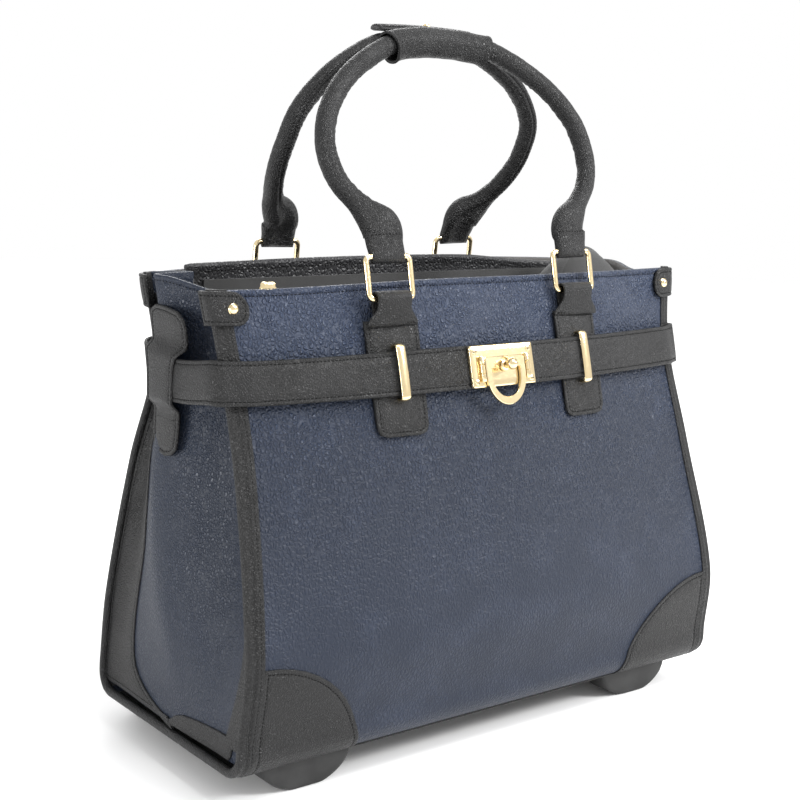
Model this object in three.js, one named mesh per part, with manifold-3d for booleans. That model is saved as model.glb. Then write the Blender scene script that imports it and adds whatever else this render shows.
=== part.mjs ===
// A rolling laptop case: a wide A-shaped leather tote with two carry handles,
// a cinched belt with a turn lock, a telescopic trolley handle and two wheels.
// Millimetres, +Z up, front towards -Y, standing on the floor at z = 0.
// Inside this file y is counted from the foot of the front panel; the finished
// group is moved so that its origin is under the middle of the whole case.
import * as THREE from "three";
import { mergeVertices } from "three/addons/utils/BufferGeometryUtils.js";
import Module from "manifold-3d";

const wasm = await Module();
wasm.setup();

// ---------------------------------------------------------------- dimensions
const gap = 0.3;
const surfaceGap = 1.3;
const panelThickness = 3;
const floorClearance = 22;
const topHeight = 331;
const cornerRadius = 18;
const cornerHeight = floorClearance + cornerRadius;
const bindingRadius = 4.5;
const bindingRoom = 2 * bindingRadius + gap;

// Side outline of the body, given as [height, value] pairs.
const halfWidth = smooth([[22, 219], [100, 215.3], [200, 207], [272, 204.7], [331, 210.8]]);
const frontCorner = smooth([[46, -2], [100, -6], [200, 20], [272, 43], [331, 54]]);
const rearCorner = smooth([[46, 194], [100, 189], [200, 168], [272, 139], [331, 141]]);
const frontSwell = smooth([[46, 0], [100, 5], [200, 15], [272, 22], [331, 16]]);
const rearSwell = smooth([[46, 0], [100, 2], [200, 15], [272, 29], [331, 31]]);
const front = { outward: -1, corner: frontCorner, swell: frontSwell };
const rear = { outward: 1, corner: rearCorner, swell: rearSwell };

// Belt, its keepers and the lock
const beltHeight = 272;
const beltWidth = 30;
const beltThickness = 2.4;
const tabThickness = 2;
const beltLift = tabThickness + 2 * surfaceGap;
const beltTilt = THREE.MathUtils.degToRad(15);
const lockWidth = 58;
const lockHeight = 29.5;
const lockThickness = 2.5;
const haspRadius = 18;
const haspBand = 5;

// Carry handles, their rings and their tabs
const handleRadius = 6.5;
const tabSpacing = 84;
const tabWidth = 44;
const tabNeck = 27;
const tabFoot = 230;
const ringWidth = 40;
const ringBar = 4;
const ringDepth = 3.6;
const ringPitch = 28;
const ringLowHeight = 320;
const knuckleRadius = 5;
const barClearance = 3;
const frontRing = { y: 31.2, lean: 6 };
const rearRing = { y: 174.4, lean: -3 };
const frontGripY = 92;
const rearGripY = 109;
const gripHeight = 493;
const wrapLength = 100;
const wrapWall = 2;
const flapClearance = 3.2;

// Trolley handle
const tubeSpacing = 60;
const tubeY = 152;
const tubeWall = 1.2;
const tubeStep = 3.6;
const tubeWidth = 25;
const tubeDepth = 16;
const tubeFoot = 30;
const tubeTop = 300;
const bezelHeight = 10;
const trolleyGrip = { width: 150, depth: 16, height: 18 };
const gripBottom = tubeTop + bezelHeight + 4;
const button = { width: 40, depth: 8, height: 8, proud: 1.5, travel: 3 };

// Wheels and feet
const wheelRadius = 30;
const wheelWidth = 20;
const wheelX = 178;
const axleY = 178;
const axleRadius = 3;
const hubRadius = 23;
const housing = { width: 29.4, wall: 3, frontY: 142.2, backY: 197, bottom: 20, top: 76 };
const footX = 155;
const footY = 14;
const footDepth = 23;
const footHalfWidth = 35;

// ----------------------------------------------------------------- materials
function finish(color, roughness, metalness) {
  return () => new THREE.MeshStandardMaterial({ color, roughness, metalness });
}

const navyLeather = finish(0x33415f, 0.55, 0);
const blackLeather = finish(0x1d1d1f, 0.55, 0);
const goldMetal = finish(0xd9c08a, 0.25, 1);
const blackPlastic = finish(0x2a2a2c, 0.5, 0);
const aluminium = finish(0xb8bbc0, 0.3, 1);
const blackNylon = finish(0x222226, 0.8, 0);
const darkRubber = finish(0x1b1b1b, 0.85, 0);
const fibreBoard = finish(0x3a3732, 0.9, 0);

// ------------------------------------------------------------------- helpers
// A smooth curve through pairs of [height, value].
function smooth(pairs) {
  const slope = (i) => {
    const before = pairs[Math.max(i - 1, 0)];
    const after = pairs[Math.min(i + 1, pairs.length - 1)];
    return (after[1] - before[1]) / (after[0] - before[0]);
  };
  return (height) => {
    let i = 0;
    while (i < pairs.length - 2 && height > pairs[i + 1][0]) i += 1;
    const span = pairs[i + 1][0] - pairs[i][0];
    const t = THREE.MathUtils.clamp((height - pairs[i][0]) / span, 0, 1);
    const rise = 3 * t * t - 2 * t * t * t;
    const leave = span * slope(i) * (t * t * t - 2 * t * t + t);
    const arrive = span * slope(i + 1) * (t * t * t - t * t);
    return pairs[i][1] * (1 - rise) + pairs[i + 1][1] * rise + leave + arrive;
  };
}

// Shares the vertices of a geometry and turns its faces out.
function weld(geometry) {
  geometry.deleteAttribute("normal");
  geometry.deleteAttribute("uv");
  const welded = mergeVertices(geometry, 1e-4);
  const p = welded.attributes.position;
  const index = welded.index.array;
  const [a, b, c] = [new THREE.Vector3(), new THREE.Vector3(), new THREE.Vector3()];
  let volume = 0;
  for (let i = 0; i < index.length; i += 3) {
    a.fromBufferAttribute(p, index[i]);
    b.fromBufferAttribute(p, index[i + 1]);
    c.fromBufferAttribute(p, index[i + 2]);
    volume += a.dot(b.cross(c));
  }
  if (volume < 0) index.reverse();
  return welded;
}

function toManifold(geometry) {
  const welded = weld(geometry);
  const vertProperties = new Float32Array(welded.attributes.position.array);
  const triVerts = new Uint32Array(welded.index.array);
  return new wasm.Manifold(new wasm.Mesh({ numProp: 3, vertProperties, triVerts }));
}

function fromManifold(manifold) {
  const mesh = manifold.getMesh();
  const geometry = new THREE.BufferGeometry();
  const positions = new Float32Array(mesh.vertProperties);
  geometry.setAttribute("position", new THREE.BufferAttribute(positions, 3));
  geometry.setIndex(new THREE.BufferAttribute(new Uint32Array(mesh.triVerts), 1));
  return geometry;
}

function join(first, ...others) {
  return fromManifold(others.reduce((sum, g) => sum.add(toManifold(g)), toManifold(first)));
}

function cut(first, ...tools) {
  return fromManifold(tools.reduce((rest, g) => rest.subtract(toManifold(g)), toManifold(first)));
}

// A box whose unit coordinates (u, v, w from 0 to 1) are bent onto any surface.
function bentBox(across, up, deep, place) {
  const geometry = new THREE.BoxGeometry(1, 1, 1, across, up, deep);
  const p = geometry.attributes.position;
  for (let i = 0; i < p.count; i += 1) {
    const at = place(p.getX(i) + 0.5, p.getY(i) + 0.5, p.getZ(i) + 0.5);
    p.setXYZ(i, at.x, at.y, at.z);
  }
  return weld(geometry);
}

// A plain box between two corners.
function block(x0, x1, y0, y1, z0, z1) {
  const geometry = new THREE.BoxGeometry(x1 - x0, y1 - y0, z1 - z0);
  geometry.translate((x0 + x1) / 2, (y0 + y1) / 2, (z0 + z1) / 2);
  return geometry;
}

// A round bar along X.
function barX(radius, x0, x1, y, z, sides = 12) {
  const geometry = new THREE.CylinderGeometry(radius, radius, x1 - x0, sides);
  geometry.rotateZ(Math.PI / 2);
  geometry.translate((x0 + x1) / 2, y, z);
  return geometry;
}

// A flat shape drawn in X and Z, given a thickness towards +Y from y = 0.
function plate(shape, thickness, curveSegments = 8) {
  const options = { depth: thickness, bevelEnabled: false, curveSegments };
  const geometry = new THREE.ExtrudeGeometry(shape, options);
  geometry.rotateX(Math.PI / 2);
  geometry.translate(0, thickness, 0);
  return geometry;
}

function roundedRectangle(Kind, width, height, radius) {
  const w = width / 2;
  const h = height / 2;
  const outline = new Kind();
  outline.absarc(w - radius, h - radius, radius, 0, Math.PI / 2);
  outline.absarc(-w + radius, h - radius, radius, Math.PI / 2, Math.PI);
  outline.absarc(-w + radius, -h + radius, radius, Math.PI, 1.5 * Math.PI);
  outline.absarc(w - radius, -h + radius, radius, 1.5 * Math.PI, 2 * Math.PI);
  outline.closePath();
  return outline;
}

function circle(Kind, radius) {
  const outline = new Kind();
  outline.absarc(0, 0, radius, 0, 2 * Math.PI);
  return outline;
}

function sweep(shape, points, steps, curveSegments) {
  const extrudePath = new THREE.CatmullRomCurve3(points);
  return new THREE.ExtrudeGeometry(shape, { extrudePath, steps, curveSegments, bevelEnabled: false });
}

const group = new THREE.Group();

function addTo(parent, name, material, geometry) {
  const mesh = new THREE.Mesh(weld(geometry), material());
  mesh.name = name;
  parent.add(mesh);
}

function add(name, material, geometry) {
  addTo(group, name, material, geometry);
}

const sides = [["left", -1], ["right", 1]];

// ------------------------------------------------------------- bag, the body
// Outer surface of the front or rear wall, moved out by `lift`.
function wallY(wall, x, z, lift) {
  const t = x / halfWidth(z);
  return wall.corner(z) + wall.outward * (wall.swell(z) * (1 - t * t) + lift);
}

// A wall runs from its top edge down and a quarter turn under the bag.
function wall(side, topRise) {
  const straightShare = 0.75;
  return bentBox(12, 12, 1, (u, v, w) => {
    const t = 2 * u - 1;
    const inset = w * panelThickness;
    const fromTop = 1 - v;
    const top = topHeight + topRise * (1 - t * t);
    if (fromTop <= straightShare) {
      const z = THREE.MathUtils.lerp(top, cornerHeight, fromTop / straightShare);
      const x = t * (halfWidth(z) - bindingRoom);
      return new THREE.Vector3(x, wallY(side, x, z, -inset), z);
    }
    const angle = (Math.PI / 2) * ((fromTop - straightShare) / (1 - straightShare));
    const z = cornerHeight - (cornerRadius - inset) * Math.sin(angle);
    const centreY = side.corner(cornerHeight) - side.outward * cornerRadius;
    const y = centreY + side.outward * (cornerRadius - inset) * Math.cos(angle);
    return new THREE.Vector3(t * (halfWidth(z) - bindingRoom), y, z);
  });
}

// Space kept free for the wheel housings, on both sides.
function housingRooms() {
  const half = housing.width / 2 + gap;
  return sides.map(([, sign]) => block(
    sign * wheelX - half, sign * wheelX + half,
    housing.frontY - gap, rearCorner(cornerHeight) + cornerRadius,
    0, housing.top + gap,
  ));
}

function bottomPanel() {
  const half = halfWidth(floorClearance) - bindingRoom;
  const y0 = frontCorner(cornerHeight) + cornerRadius + gap;
  const y1 = rearCorner(cornerHeight) - cornerRadius - gap;
  const z1 = floorClearance + panelThickness;
  return cut(block(-half, half, y0, y1, floorClearance, z1), ...housingRooms());
}

function baseBoard() {
  const z0 = floorClearance + panelThickness + gap;
  return cut(block(-198, 198, 20, 172, z0, z0 + panelThickness), ...housingRooms());
}

// Front and rear limits of a side gusset at one height, inside the binding.
function gussetReach(z) {
  const inner = cornerRadius - bindingRoom;
  const drop = Math.max(cornerHeight - z, 0);
  const tuck = inner - Math.sqrt(Math.max(inner * inner - drop * drop, 0));
  return [frontCorner(z) + bindingRoom + tuck, rearCorner(z) - bindingRoom - tuck];
}

// The gusset folds inwards near its top rear and bulges a little lower down.
function gusset(sign) {
  const foldDepth = 14;
  const bulge = 5;
  return bentBox(10, 10, 1, (u, v, w) => {
    const low = floorClearance + bindingRoom;
    const z = THREE.MathUtils.lerp(low, topHeight - 4, v);
    const [y0, y1] = gussetReach(z);
    const arch = Math.sin(Math.PI * u);
    const fold = foldDepth * arch * THREE.MathUtils.smoothstep(z, 200, topHeight);
    const belly = bulge * arch * Math.sin(Math.PI * THREE.MathUtils.clamp(v / 0.8, 0, 1));
    const x = halfWidth(z) - fold * u + belly - w * panelThickness - 5;
    return new THREE.Vector3(sign * x, THREE.MathUtils.lerp(y0, y1, u), z);
  });
}

// Rolled leather binding down the front seam, under the bag and up the rear.
function binding(sign) {
  const points = [];
  const place = (y, z) => points.push(new THREE.Vector3(sign * (halfWidth(z) - bindingRadius), y, z));
  const turn = (centreY, from) => {
    for (let i = 0; i <= 4; i += 1) {
      const angle = from + (i / 4) * (Math.PI / 2);
      const reach = cornerRadius - bindingRadius;
      place(centreY + reach * Math.cos(angle), cornerHeight + reach * Math.sin(angle));
    }
  };
  const heights = [topHeight, 301, 272, 236, 200, 150, 100, 70];
  heights.forEach((z) => place(frontCorner(z) + bindingRadius, z));
  turn(frontCorner(cornerHeight) + cornerRadius, Math.PI);
  place((frontCorner(cornerHeight) + rearCorner(cornerHeight)) / 2, floorClearance + bindingRadius);
  turn(rearCorner(cornerHeight) - cornerRadius, 1.5 * Math.PI);
  heights.reverse().forEach((z) => place(rearCorner(z) - bindingRadius, z));
  return sweep(circle(THREE.Shape, bindingRadius - 0.2), points, 52, 3);
}

// --------------------------------------------------------------------- belts
function beltFront() {
  return bentBox(16, 2, 1, (u, v, w) => {
    const z = beltHeight + (v - 0.5) * beltWidth;
    const x = (2 * u - 1) * (halfWidth(z) + beltLift + beltThickness);
    const t = THREE.MathUtils.clamp(x, -halfWidth(z), halfWidth(z));
    return new THREE.Vector3(x, wallY(front, t, z, beltLift + w * beltThickness), z);
  });
}

// The belt's other piece runs back along one side, across the rear and forward again.
function beltWrap() {
  const sideShare = 0.2;
  return bentBox(30, 2, 1, (u, v, w) => {
    const z = beltHeight + (v - 0.5) * beltWidth;
    const half = halfWidth(z) + beltLift;
    const lift = w * beltThickness;
    const y0 = wallY(front, halfWidth(z), z, beltLift) + gap;
    const y1 = rearCorner(z) + beltLift;
    const side = u < 0.5 ? -1 : 1;
    const along = u < 0.5 ? u : 1 - u;
    if (along <= sideShare) {
      const y = THREE.MathUtils.lerp(y0, y1 + lift, along / sideShare);
      return new THREE.Vector3(side * (half + lift), y, z);
    }
    const t = 1 - (along - sideShare) / (0.5 - sideShare);
    const x = side * t * (half + lift);
    const across = THREE.MathUtils.clamp(x, -halfWidth(z), halfWidth(z));
    return new THREE.Vector3(x, wallY(rear, across, z, beltLift + lift), z);
  });
}

// Leather loop on the gusset that holds the belt against the side.
function beltLoop(sign) {
  const [low, high, width, middleY] = [212, 306, 36, 119];
  return bentBox(2, 12, 1, (u, v, w) => {
    const z = THREE.MathUtils.lerp(low, high, v);
    const away = Math.abs(z - beltHeight) - beltWidth / 2;
    const over = 1 - THREE.MathUtils.smoothstep(away, 9, 20);
    const lift = surfaceGap + over * (beltLift + beltThickness) + w * tabThickness;
    const x = halfWidth(z) + lift;
    return new THREE.Vector3(sign * x, middleY + (u - 0.5) * width, z);
  });
}

// Gold band over belt and tab; its two ends turn in towards the tab.
function beltKeeper() {
  const [wallThickness, width] = [2, 7];
  const half = beltWidth / 2 + 2.6;
  const inner = -beltThickness - beltLift - 0.8;
  const foot = -tabThickness - 2 * surfaceGap;
  const outline = new THREE.Shape();
  outline.moveTo(foot, half + wallThickness);
  outline.lineTo(inner - wallThickness, half + wallThickness);
  outline.lineTo(inner - wallThickness, -half - wallThickness);
  outline.lineTo(foot, -half - wallThickness);
  outline.lineTo(foot, -half);
  outline.lineTo(inner, -half);
  outline.lineTo(inner, half);
  outline.lineTo(foot, half);
  const geometry = new THREE.ExtrudeGeometry(outline, { depth: width, bevelEnabled: false });
  geometry.rotateY(Math.PI / 2);
  geometry.rotateX(Math.PI / 2);
  geometry.translate(-width / 2, 0, 0);
  return geometry;
}

// ---------------------------------------------------------- corners and tabs
// Small leather corner folded round the top end of a binding.
function cornerTab(wallSide, sign) {
  const [low, high, frontReach, sideReach, faceShare] = [308, 330, 27, 16, 0.6];
  return bentBox(10, 2, 1, (u, v, w) => {
    const z = THREE.MathUtils.lerp(low, high, v);
    const lift = surfaceGap + w * tabThickness;
    const edge = halfWidth(z);
    if (u <= faceShare) {
      const x = THREE.MathUtils.lerp(edge - frontReach, edge + lift, u / faceShare);
      return new THREE.Vector3(sign * x, wallY(wallSide, Math.min(x, edge), z, lift), z);
    }
    const back = THREE.MathUtils.lerp(lift, -sideReach, (u - faceShare) / (1 - faceShare));
    return new THREE.Vector3(sign * (edge + lift), wallSide.corner(z) + wallSide.outward * back, z);
  });
}

// Leather tab on a wall; its neck loops round the lower bar of a handle ring.
function handleTab(wallSide, ring, sign) {
  const blade = bentBox(4, 10, 1, (u, v, w) => {
    const z = THREE.MathUtils.lerp(tabFoot, ringLowHeight, v);
    const neck = THREE.MathUtils.smoothstep(z, beltHeight, ringLowHeight - 8);
    const round = Math.sqrt(Math.min(1, 0.55 + v * 3));
    const half = (THREE.MathUtils.lerp(tabWidth, tabNeck, neck) / 2) * round;
    const x = sign * tabSpacing + (2 * u - 1) * half;
    return new THREE.Vector3(x, wallY(wallSide, x, z, surfaceGap + w * tabThickness), z);
  });
  const x0 = sign * tabSpacing - tabNeck / 2;
  const x1 = sign * tabSpacing + tabNeck / 2;
  const knuckle = barX(knuckleRadius, x0, x1, ring.y, ringLowHeight, 16);
  const pocket = barX(barClearance, x0 - 5, x1 + 5, ring.y, ringLowHeight, 16);
  return cut(join(blade, knuckle), pocket);
}

// ------------------------------------------------------------- carry handles
function ringHigh(ring) {
  return { y: ring.y + ring.lean, z: ringLowHeight + Math.sqrt(ringPitch ** 2 - ring.lean ** 2) };
}

// Rectangular ring, its lower bar in the tab and its upper bar in the handle.
function handleRing(ring, sign) {
  const outline = roundedRectangle(THREE.Shape, ringWidth, ringPitch + ringBar, 4);
  outline.holes.push(roundedRectangle(THREE.Path, ringWidth - 2 * ringBar, ringPitch - ringBar, 2));
  const geometry = plate(outline, ringDepth, 3);
  geometry.translate(0, -ringDepth / 2, ringPitch / 2);
  geometry.rotateX(-Math.asin(ring.lean / ringPitch));
  geometry.translate(sign * tabSpacing, ring.y, ringLowHeight);
  return geometry;
}

// Half of each handle's centre line from its foot to its top; the other half mirrors it in x.
const frontRoute = [
  [86, 43, 366], [97, 48, 378], [113, 55, 396], [118, 63, 418], [110, 71, 443],
  [87, 80, 467], [50, frontGripY - 3, 487], [24, frontGripY, 492],
];
const rearRoute = [
  [87, 164, 366], [98, 156, 378], [108, 138, 398], [110, 123, 420], [105, 113, 443],
  [83, 108, 468], [48, rearGripY, 488], [24, rearGripY, 492],
];

function handlePoints(route, gripY) {
  const half = route.map(([x, y, z]) => new THREE.Vector3(x, y, z));
  const other = half.map((p) => new THREE.Vector3(-p.x, p.y, p.z)).reverse();
  return [...half, new THREE.Vector3(0, gripY, gripHeight), ...other];
}

// The tube flattens at each foot into a fold round the ring's upper bar.
function handle(route, gripY, ring) {
  const high = ringHigh(ring);
  const tube = sweep(circle(THREE.Shape, handleRadius), handlePoints(route, gripY), 40, 4);
  const bars = sides.map(([, sign]) => {
    const x = sign * tabSpacing;
    return barX(knuckleRadius, x - tabNeck / 2, x + tabNeck / 2, high.y, high.z, 16);
  });
  const pockets = sides.map(([, sign]) => {
    const x = sign * tabSpacing;
    return barX(barClearance, x - tabNeck, x + tabNeck, high.y, high.z, 16);
  });
  const folds = sides.map(([, sign]) => bentBox(1, 1, 4, (u, v, w) => {
    const narrow = THREE.MathUtils.lerp(tabNeck / 2, handleRadius, w * w);
    const thick = THREE.MathUtils.lerp(knuckleRadius - 0.6, handleRadius - 0.5, w);
    const x = THREE.MathUtils.lerp(sign * tabSpacing, sign * route[0][0], w);
    const y = THREE.MathUtils.lerp(high.y, route[0][1], w);
    const z = THREE.MathUtils.lerp(high.z, route[0][2] + 3, w);
    return new THREE.Vector3(x + (2 * u - 1) * narrow, y + (2 * v - 1) * thick, z);
  }));
  return cut(join(tube, ...bars, ...folds), ...pockets);
}

// Leather sleeve sewn round the front handle where the two handles meet.
function gripWrap() {
  const inner = handleRadius + gap + 0.8;
  const outline = circle(THREE.Shape, inner + wrapWall);
  outline.holes.push(circle(THREE.Path, inner));
  const curve = new THREE.CatmullRomCurve3(handlePoints(frontRoute, frontGripY));
  const crown = gripHeight - 40;
  const points = curve.getPoints(50).filter((p) => Math.abs(p.x) <= wrapLength / 2 && p.z > crown);
  return sweep(outline, points, 10, 4);
}

// Flap of the wrap, laid over the rear handle and left open behind it.
function wrapFlap() {
  const radius = handleRadius + flapClearance;
  const half = wrapLength / 2 - 5;
  const [frontEdge, rearEdge] = [140, 62].map(THREE.MathUtils.degToRad);
  return bentBox(1, 10, 1, (u, v, w) => {
    const angle = THREE.MathUtils.lerp(frontEdge, rearEdge, v);
    const reach = radius + w * wrapWall;
    const y = rearGripY + reach * Math.cos(angle);
    return new THREE.Vector3((2 * u - 1) * half, y, gripHeight + reach * Math.sin(angle));
  });
}

// ---------------------------------------------------------------- turn lock
// The lock's own parts are drawn upright with y = 0 on the belt, then tilted with it.
const lockGroup = new THREE.Group();
lockGroup.position.set(0, wallY(front, 0, beltHeight, beltLift + beltThickness), beltHeight);
lockGroup.rotation.x = -beltTilt;
group.add(lockGroup);

const haspBack = -lockThickness - 2 * gap;
const haspThickness = 2.2;
const haspPivot = 5.2;
const collarRadius = 4.2;
const knobHeight = -0.5;
const notchRoom = 1.6;

function lockPlate() {
  const face = plate(roundedRectangle(THREE.Shape, lockWidth, lockHeight, 2), lockThickness, 3);
  face.translate(0, -lockThickness - gap, 0);
  const posts = sides.map(([, sign]) => {
    const post = new THREE.CylinderGeometry(1.8, 1.8, 18, 10);
    post.rotateX(Math.PI / 2);
    post.translate(sign * (haspRadius + 2.4), -lockThickness - 1.7, -2);
    return post;
  });
  return join(face, ...posts);
}

// Flat D-shaped hasp that hangs from its top edge and is notched for the knob.
function lockHasp() {
  const [top, eyeTop, bowTop] = [6, -2, -6];
  const outline = new THREE.Shape();
  outline.moveTo(haspRadius, top);
  outline.lineTo(-haspRadius, top);
  outline.absellipse(0, bowTop, haspRadius, haspRadius + 4, Math.PI, 2 * Math.PI);
  outline.closePath();
  const inner = haspRadius - haspBand;
  const eye = new THREE.Path();
  eye.moveTo(inner, eyeTop);
  eye.lineTo(-inner, eyeTop);
  eye.absellipse(0, bowTop - 2, inner, inner + 1.5, Math.PI, 2 * Math.PI);
  eye.closePath();
  outline.holes.push(eye);
  const flat = plate(outline, haspThickness, 12);
  flat.translate(0, haspBack - haspThickness, 0);
  const notchRadius = collarRadius + notchRoom;
  const notch = new THREE.CylinderGeometry(notchRadius, notchRadius, 3 * haspThickness, 20);
  notch.translate(0, haspBack, knobHeight);
  return cut(flat, notch);
}

// Round turn knob on a collar, on the plate's face.
function lockKnob() {
  const ball = 4.2;
  const ballCentre = 8.6;
  const profile = [new THREE.Vector2(0, 0), new THREE.Vector2(collarRadius, 0)];
  profile.push(new THREE.Vector2(collarRadius, 2.4), new THREE.Vector2(2.4, 3.2));
  for (let i = 0; i <= 6; i += 1) {
    const angle = THREE.MathUtils.degToRad(-55 + i * (145 / 6));
    profile.push(new THREE.Vector2(ball * Math.cos(angle), ballCentre + ball * Math.sin(angle)));
  }
  profile[profile.length - 1].x = 0;
  const geometry = new THREE.LatheGeometry(profile, 12);
  geometry.rotateX(Math.PI);
  geometry.translate(0, haspBack, knobHeight);
  return geometry;
}

// ------------------------------------------------------------ trolley handle
// Hollow rounded tube; level 0 is the fixed outer tube, level 3 the innermost.
function trolleyTube(level, sign) {
  const width = tubeWidth - tubeStep * level;
  const depth = tubeDepth - tubeStep * level;
  const outline = roundedRectangle(THREE.Shape, width, depth, depth / 3);
  const inside = roundedRectangle(THREE.Path, width - 2 * tubeWall, depth - 2 * tubeWall, depth / 3 - tubeWall);
  if (level < 3) outline.holes.push(inside);
  const foot = tubeFoot + 4 * level;
  const top = level === 0 ? tubeTop : tubeTop + bezelHeight + level;
  const options = { depth: top - foot, bevelEnabled: false, curveSegments: 2 };
  const geometry = new THREE.ExtrudeGeometry(outline, options);
  geometry.translate(sign * tubeSpacing, tubeY, foot);
  return geometry;
}

function trolleyBezel() {
  const half = tubeSpacing + tubeWidth / 2 + 6;
  const z0 = tubeTop + gap;
  const z1 = z0 + bezelHeight - gap;
  const body = block(-half, half, tubeY - 9, tubeY + 9, z0, z1);
  const x = (tubeWidth - tubeStep) / 2 + gap;
  const y = (tubeDepth - tubeStep) / 2 + gap;
  const slots = sides.map(([, sign]) => block(
    sign * tubeSpacing - x, sign * tubeSpacing + x, tubeY - y, tubeY + y, z0 - 1, z1 + 1,
  ));
  return cut(body, ...slots);
}

function trolleyGripBody() {
  const { width, depth, height } = trolleyGrip;
  const outline = roundedRectangle(THREE.Shape, width, depth, depth / 2 - 0.5);
  const options = { depth: height, bevelEnabled: false, curveSegments: 4 };
  const body = new THREE.ExtrudeGeometry(outline, options);
  body.translate(0, tubeY, gripBottom);
  const top = gripBottom + height;
  const deep = button.height - button.proud + button.travel + gap;
  const x = button.width / 2 + gap;
  const y = button.depth / 2 + gap;
  return cut(body, block(-x, x, tubeY - y, tubeY + y, top - deep, top + 1));
}

function releaseButton() {
  const { width, depth, height } = button;
  const outline = roundedRectangle(THREE.Shape, width, depth, depth / 2 - 0.5);
  const options = { depth: height, bevelEnabled: false, curveSegments: 4 };
  const geometry = new THREE.ExtrudeGeometry(outline, options);
  const bottom = gripBottom + trolleyGrip.height - height + button.proud;
  geometry.translate(0, tubeY, bottom);
  return geometry;
}

// ------------------------------------------------------------ wheels, feet
function wheelHousing(sign) {
  const { width, wall: thickness, frontY, backY, bottom, top } = housing;
  const x = sign * wheelX;
  const half = width / 2;
  const body = block(x - half, x + half, frontY, backY, bottom, top);
  const slotHalf = half - thickness;
  const slot = block(x - slotHalf, x + slotHalf, frontY + thickness, backY + 20, bottom - 1, top - thickness);
  const hole = barX(axleRadius + gap, x - half - 1, x + half + 1, axleY, wheelRadius);
  return cut(body, slot, hole);
}

function axle(sign) {
  const half = housing.width / 2 - 0.5;
  return barX(axleRadius, sign * wheelX - half, sign * wheelX + half, axleY, wheelRadius);
}

// A ring turned about the axle, with rounded shoulders on its outer edge.
function wheelRing(sign, innerRadius, outerRadius, width, shoulder) {
  const h = width / 2;
  const profile = [
    new THREE.Vector2(innerRadius, -h), new THREE.Vector2(outerRadius - shoulder, -h),
    new THREE.Vector2(outerRadius, -h + shoulder), new THREE.Vector2(outerRadius, h - shoulder),
    new THREE.Vector2(outerRadius - shoulder, h), new THREE.Vector2(innerRadius, h),
    new THREE.Vector2(innerRadius, -h),
  ];
  const geometry = new THREE.LatheGeometry(profile, 32);
  geometry.rotateZ(Math.PI / 2);
  geometry.translate(sign * wheelX, axleY, wheelRadius);
  return geometry;
}

// Half-moon foot with a flat underside.
function frontFoot(sign) {
  const top = floorClearance - gap;
  const arch = top + 1.8;
  const flatAngle = Math.asin(top / arch);
  const outline = new THREE.Shape();
  outline.absellipse(0, top, footHalfWidth, arch, Math.PI, Math.PI + flatAngle);
  outline.absellipse(0, top, footHalfWidth, arch, 2 * Math.PI - flatAngle, 2 * Math.PI);
  outline.closePath();
  const geometry = plate(outline, footDepth, 8);
  geometry.translate(sign * footX, footY, 0);
  return geometry;
}

// ------------------------------------------------------------------- inside
const innerFloor = floorClearance + 2 * panelThickness + 3 * gap;

// Facing between the main compartment and the trolley tubes.
function rearDivider() {
  return block(-168, 168, 139.5, 141.5, innerFloor, 336);
}

// Padded pocket wall that keeps a laptop upright against the divider.
function laptopSleeve() {
  const bottom = innerFloor + 2;
  return block(-170, 170, 112, 118, bottom, 280);
}

function zipTapeFront() {
  return bentBox(12, 1, 1, (u, v, w) => {
    const z = THREE.MathUtils.lerp(296, 325, v);
    const x = (2 * u - 1) * 176;
    return new THREE.Vector3(x, wallY(front, x, z, -panelThickness - surfaceGap - w * 1.5), z);
  });
}

function zipTapeRear() {
  return block(-165, 165, 137.5, 139.2, 290, 325);
}

function zipSlider() {
  const z = 328.5;
  const x = -165;
  const y = wallY(front, x, z, -panelThickness - 2 * gap - 3);
  return block(x - 6, x + 6, y, y + 5, z - 3, z + 3);
}

// Nylon end of the zip closure, puffed up at the right-hand end of the mouth.
function zipGusset() {
  return bentBox(6, 6, 1, (u, v, w) => {
    const x = THREE.MathUtils.lerp(125, 186, u);
    const y = THREE.MathUtils.lerp(66, 132, v);
    const crown = Math.sin(Math.PI * v) * Math.sin(Math.PI * THREE.MathUtils.clamp(0.1 + 0.8 * u, 0, 1));
    return new THREE.Vector3(x, y, 300 + 42 * crown + w * 2);
  });
}

// ----------------------------------------------------------------- assembly
add("front_panel", navyLeather, wall(front, 0));
add("rear_panel", navyLeather, cut(wall(rear, 3), ...housingRooms()));
add("bottom_panel", blackLeather, bottomPanel());
add("base_board", fibreBoard, baseBoard());
add("belt_front", blackLeather, beltFront());
add("belt_wrap", blackLeather, beltWrap());
add("front_handle", blackLeather, handle(frontRoute, frontGripY, frontRing));
add("rear_handle", blackLeather, handle(rearRoute, rearGripY, rearRing));
add("grip_wrap", blackLeather, gripWrap());
add("wrap_flap", blackLeather, wrapFlap());
add("trolley_bezel", blackPlastic, trolleyBezel());
add("trolley_grip", blackPlastic, trolleyGripBody());
add("release_button", blackPlastic, releaseButton());
add("rear_divider", blackLeather, rearDivider());
add("laptop_sleeve", blackNylon, laptopSleeve());
add("zip_tape_front", blackNylon, zipTapeFront());
add("zip_tape_rear", blackNylon, zipTapeRear());
add("zip_slider", goldMetal, zipSlider());
add("zip_gusset", blackNylon, zipGusset());
addTo(lockGroup, "lock_plate", goldMetal, lockPlate());
addTo(lockGroup, "lock_hasp", goldMetal, lockHasp());
addTo(lockGroup, "lock_knob", goldMetal, lockKnob());

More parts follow.
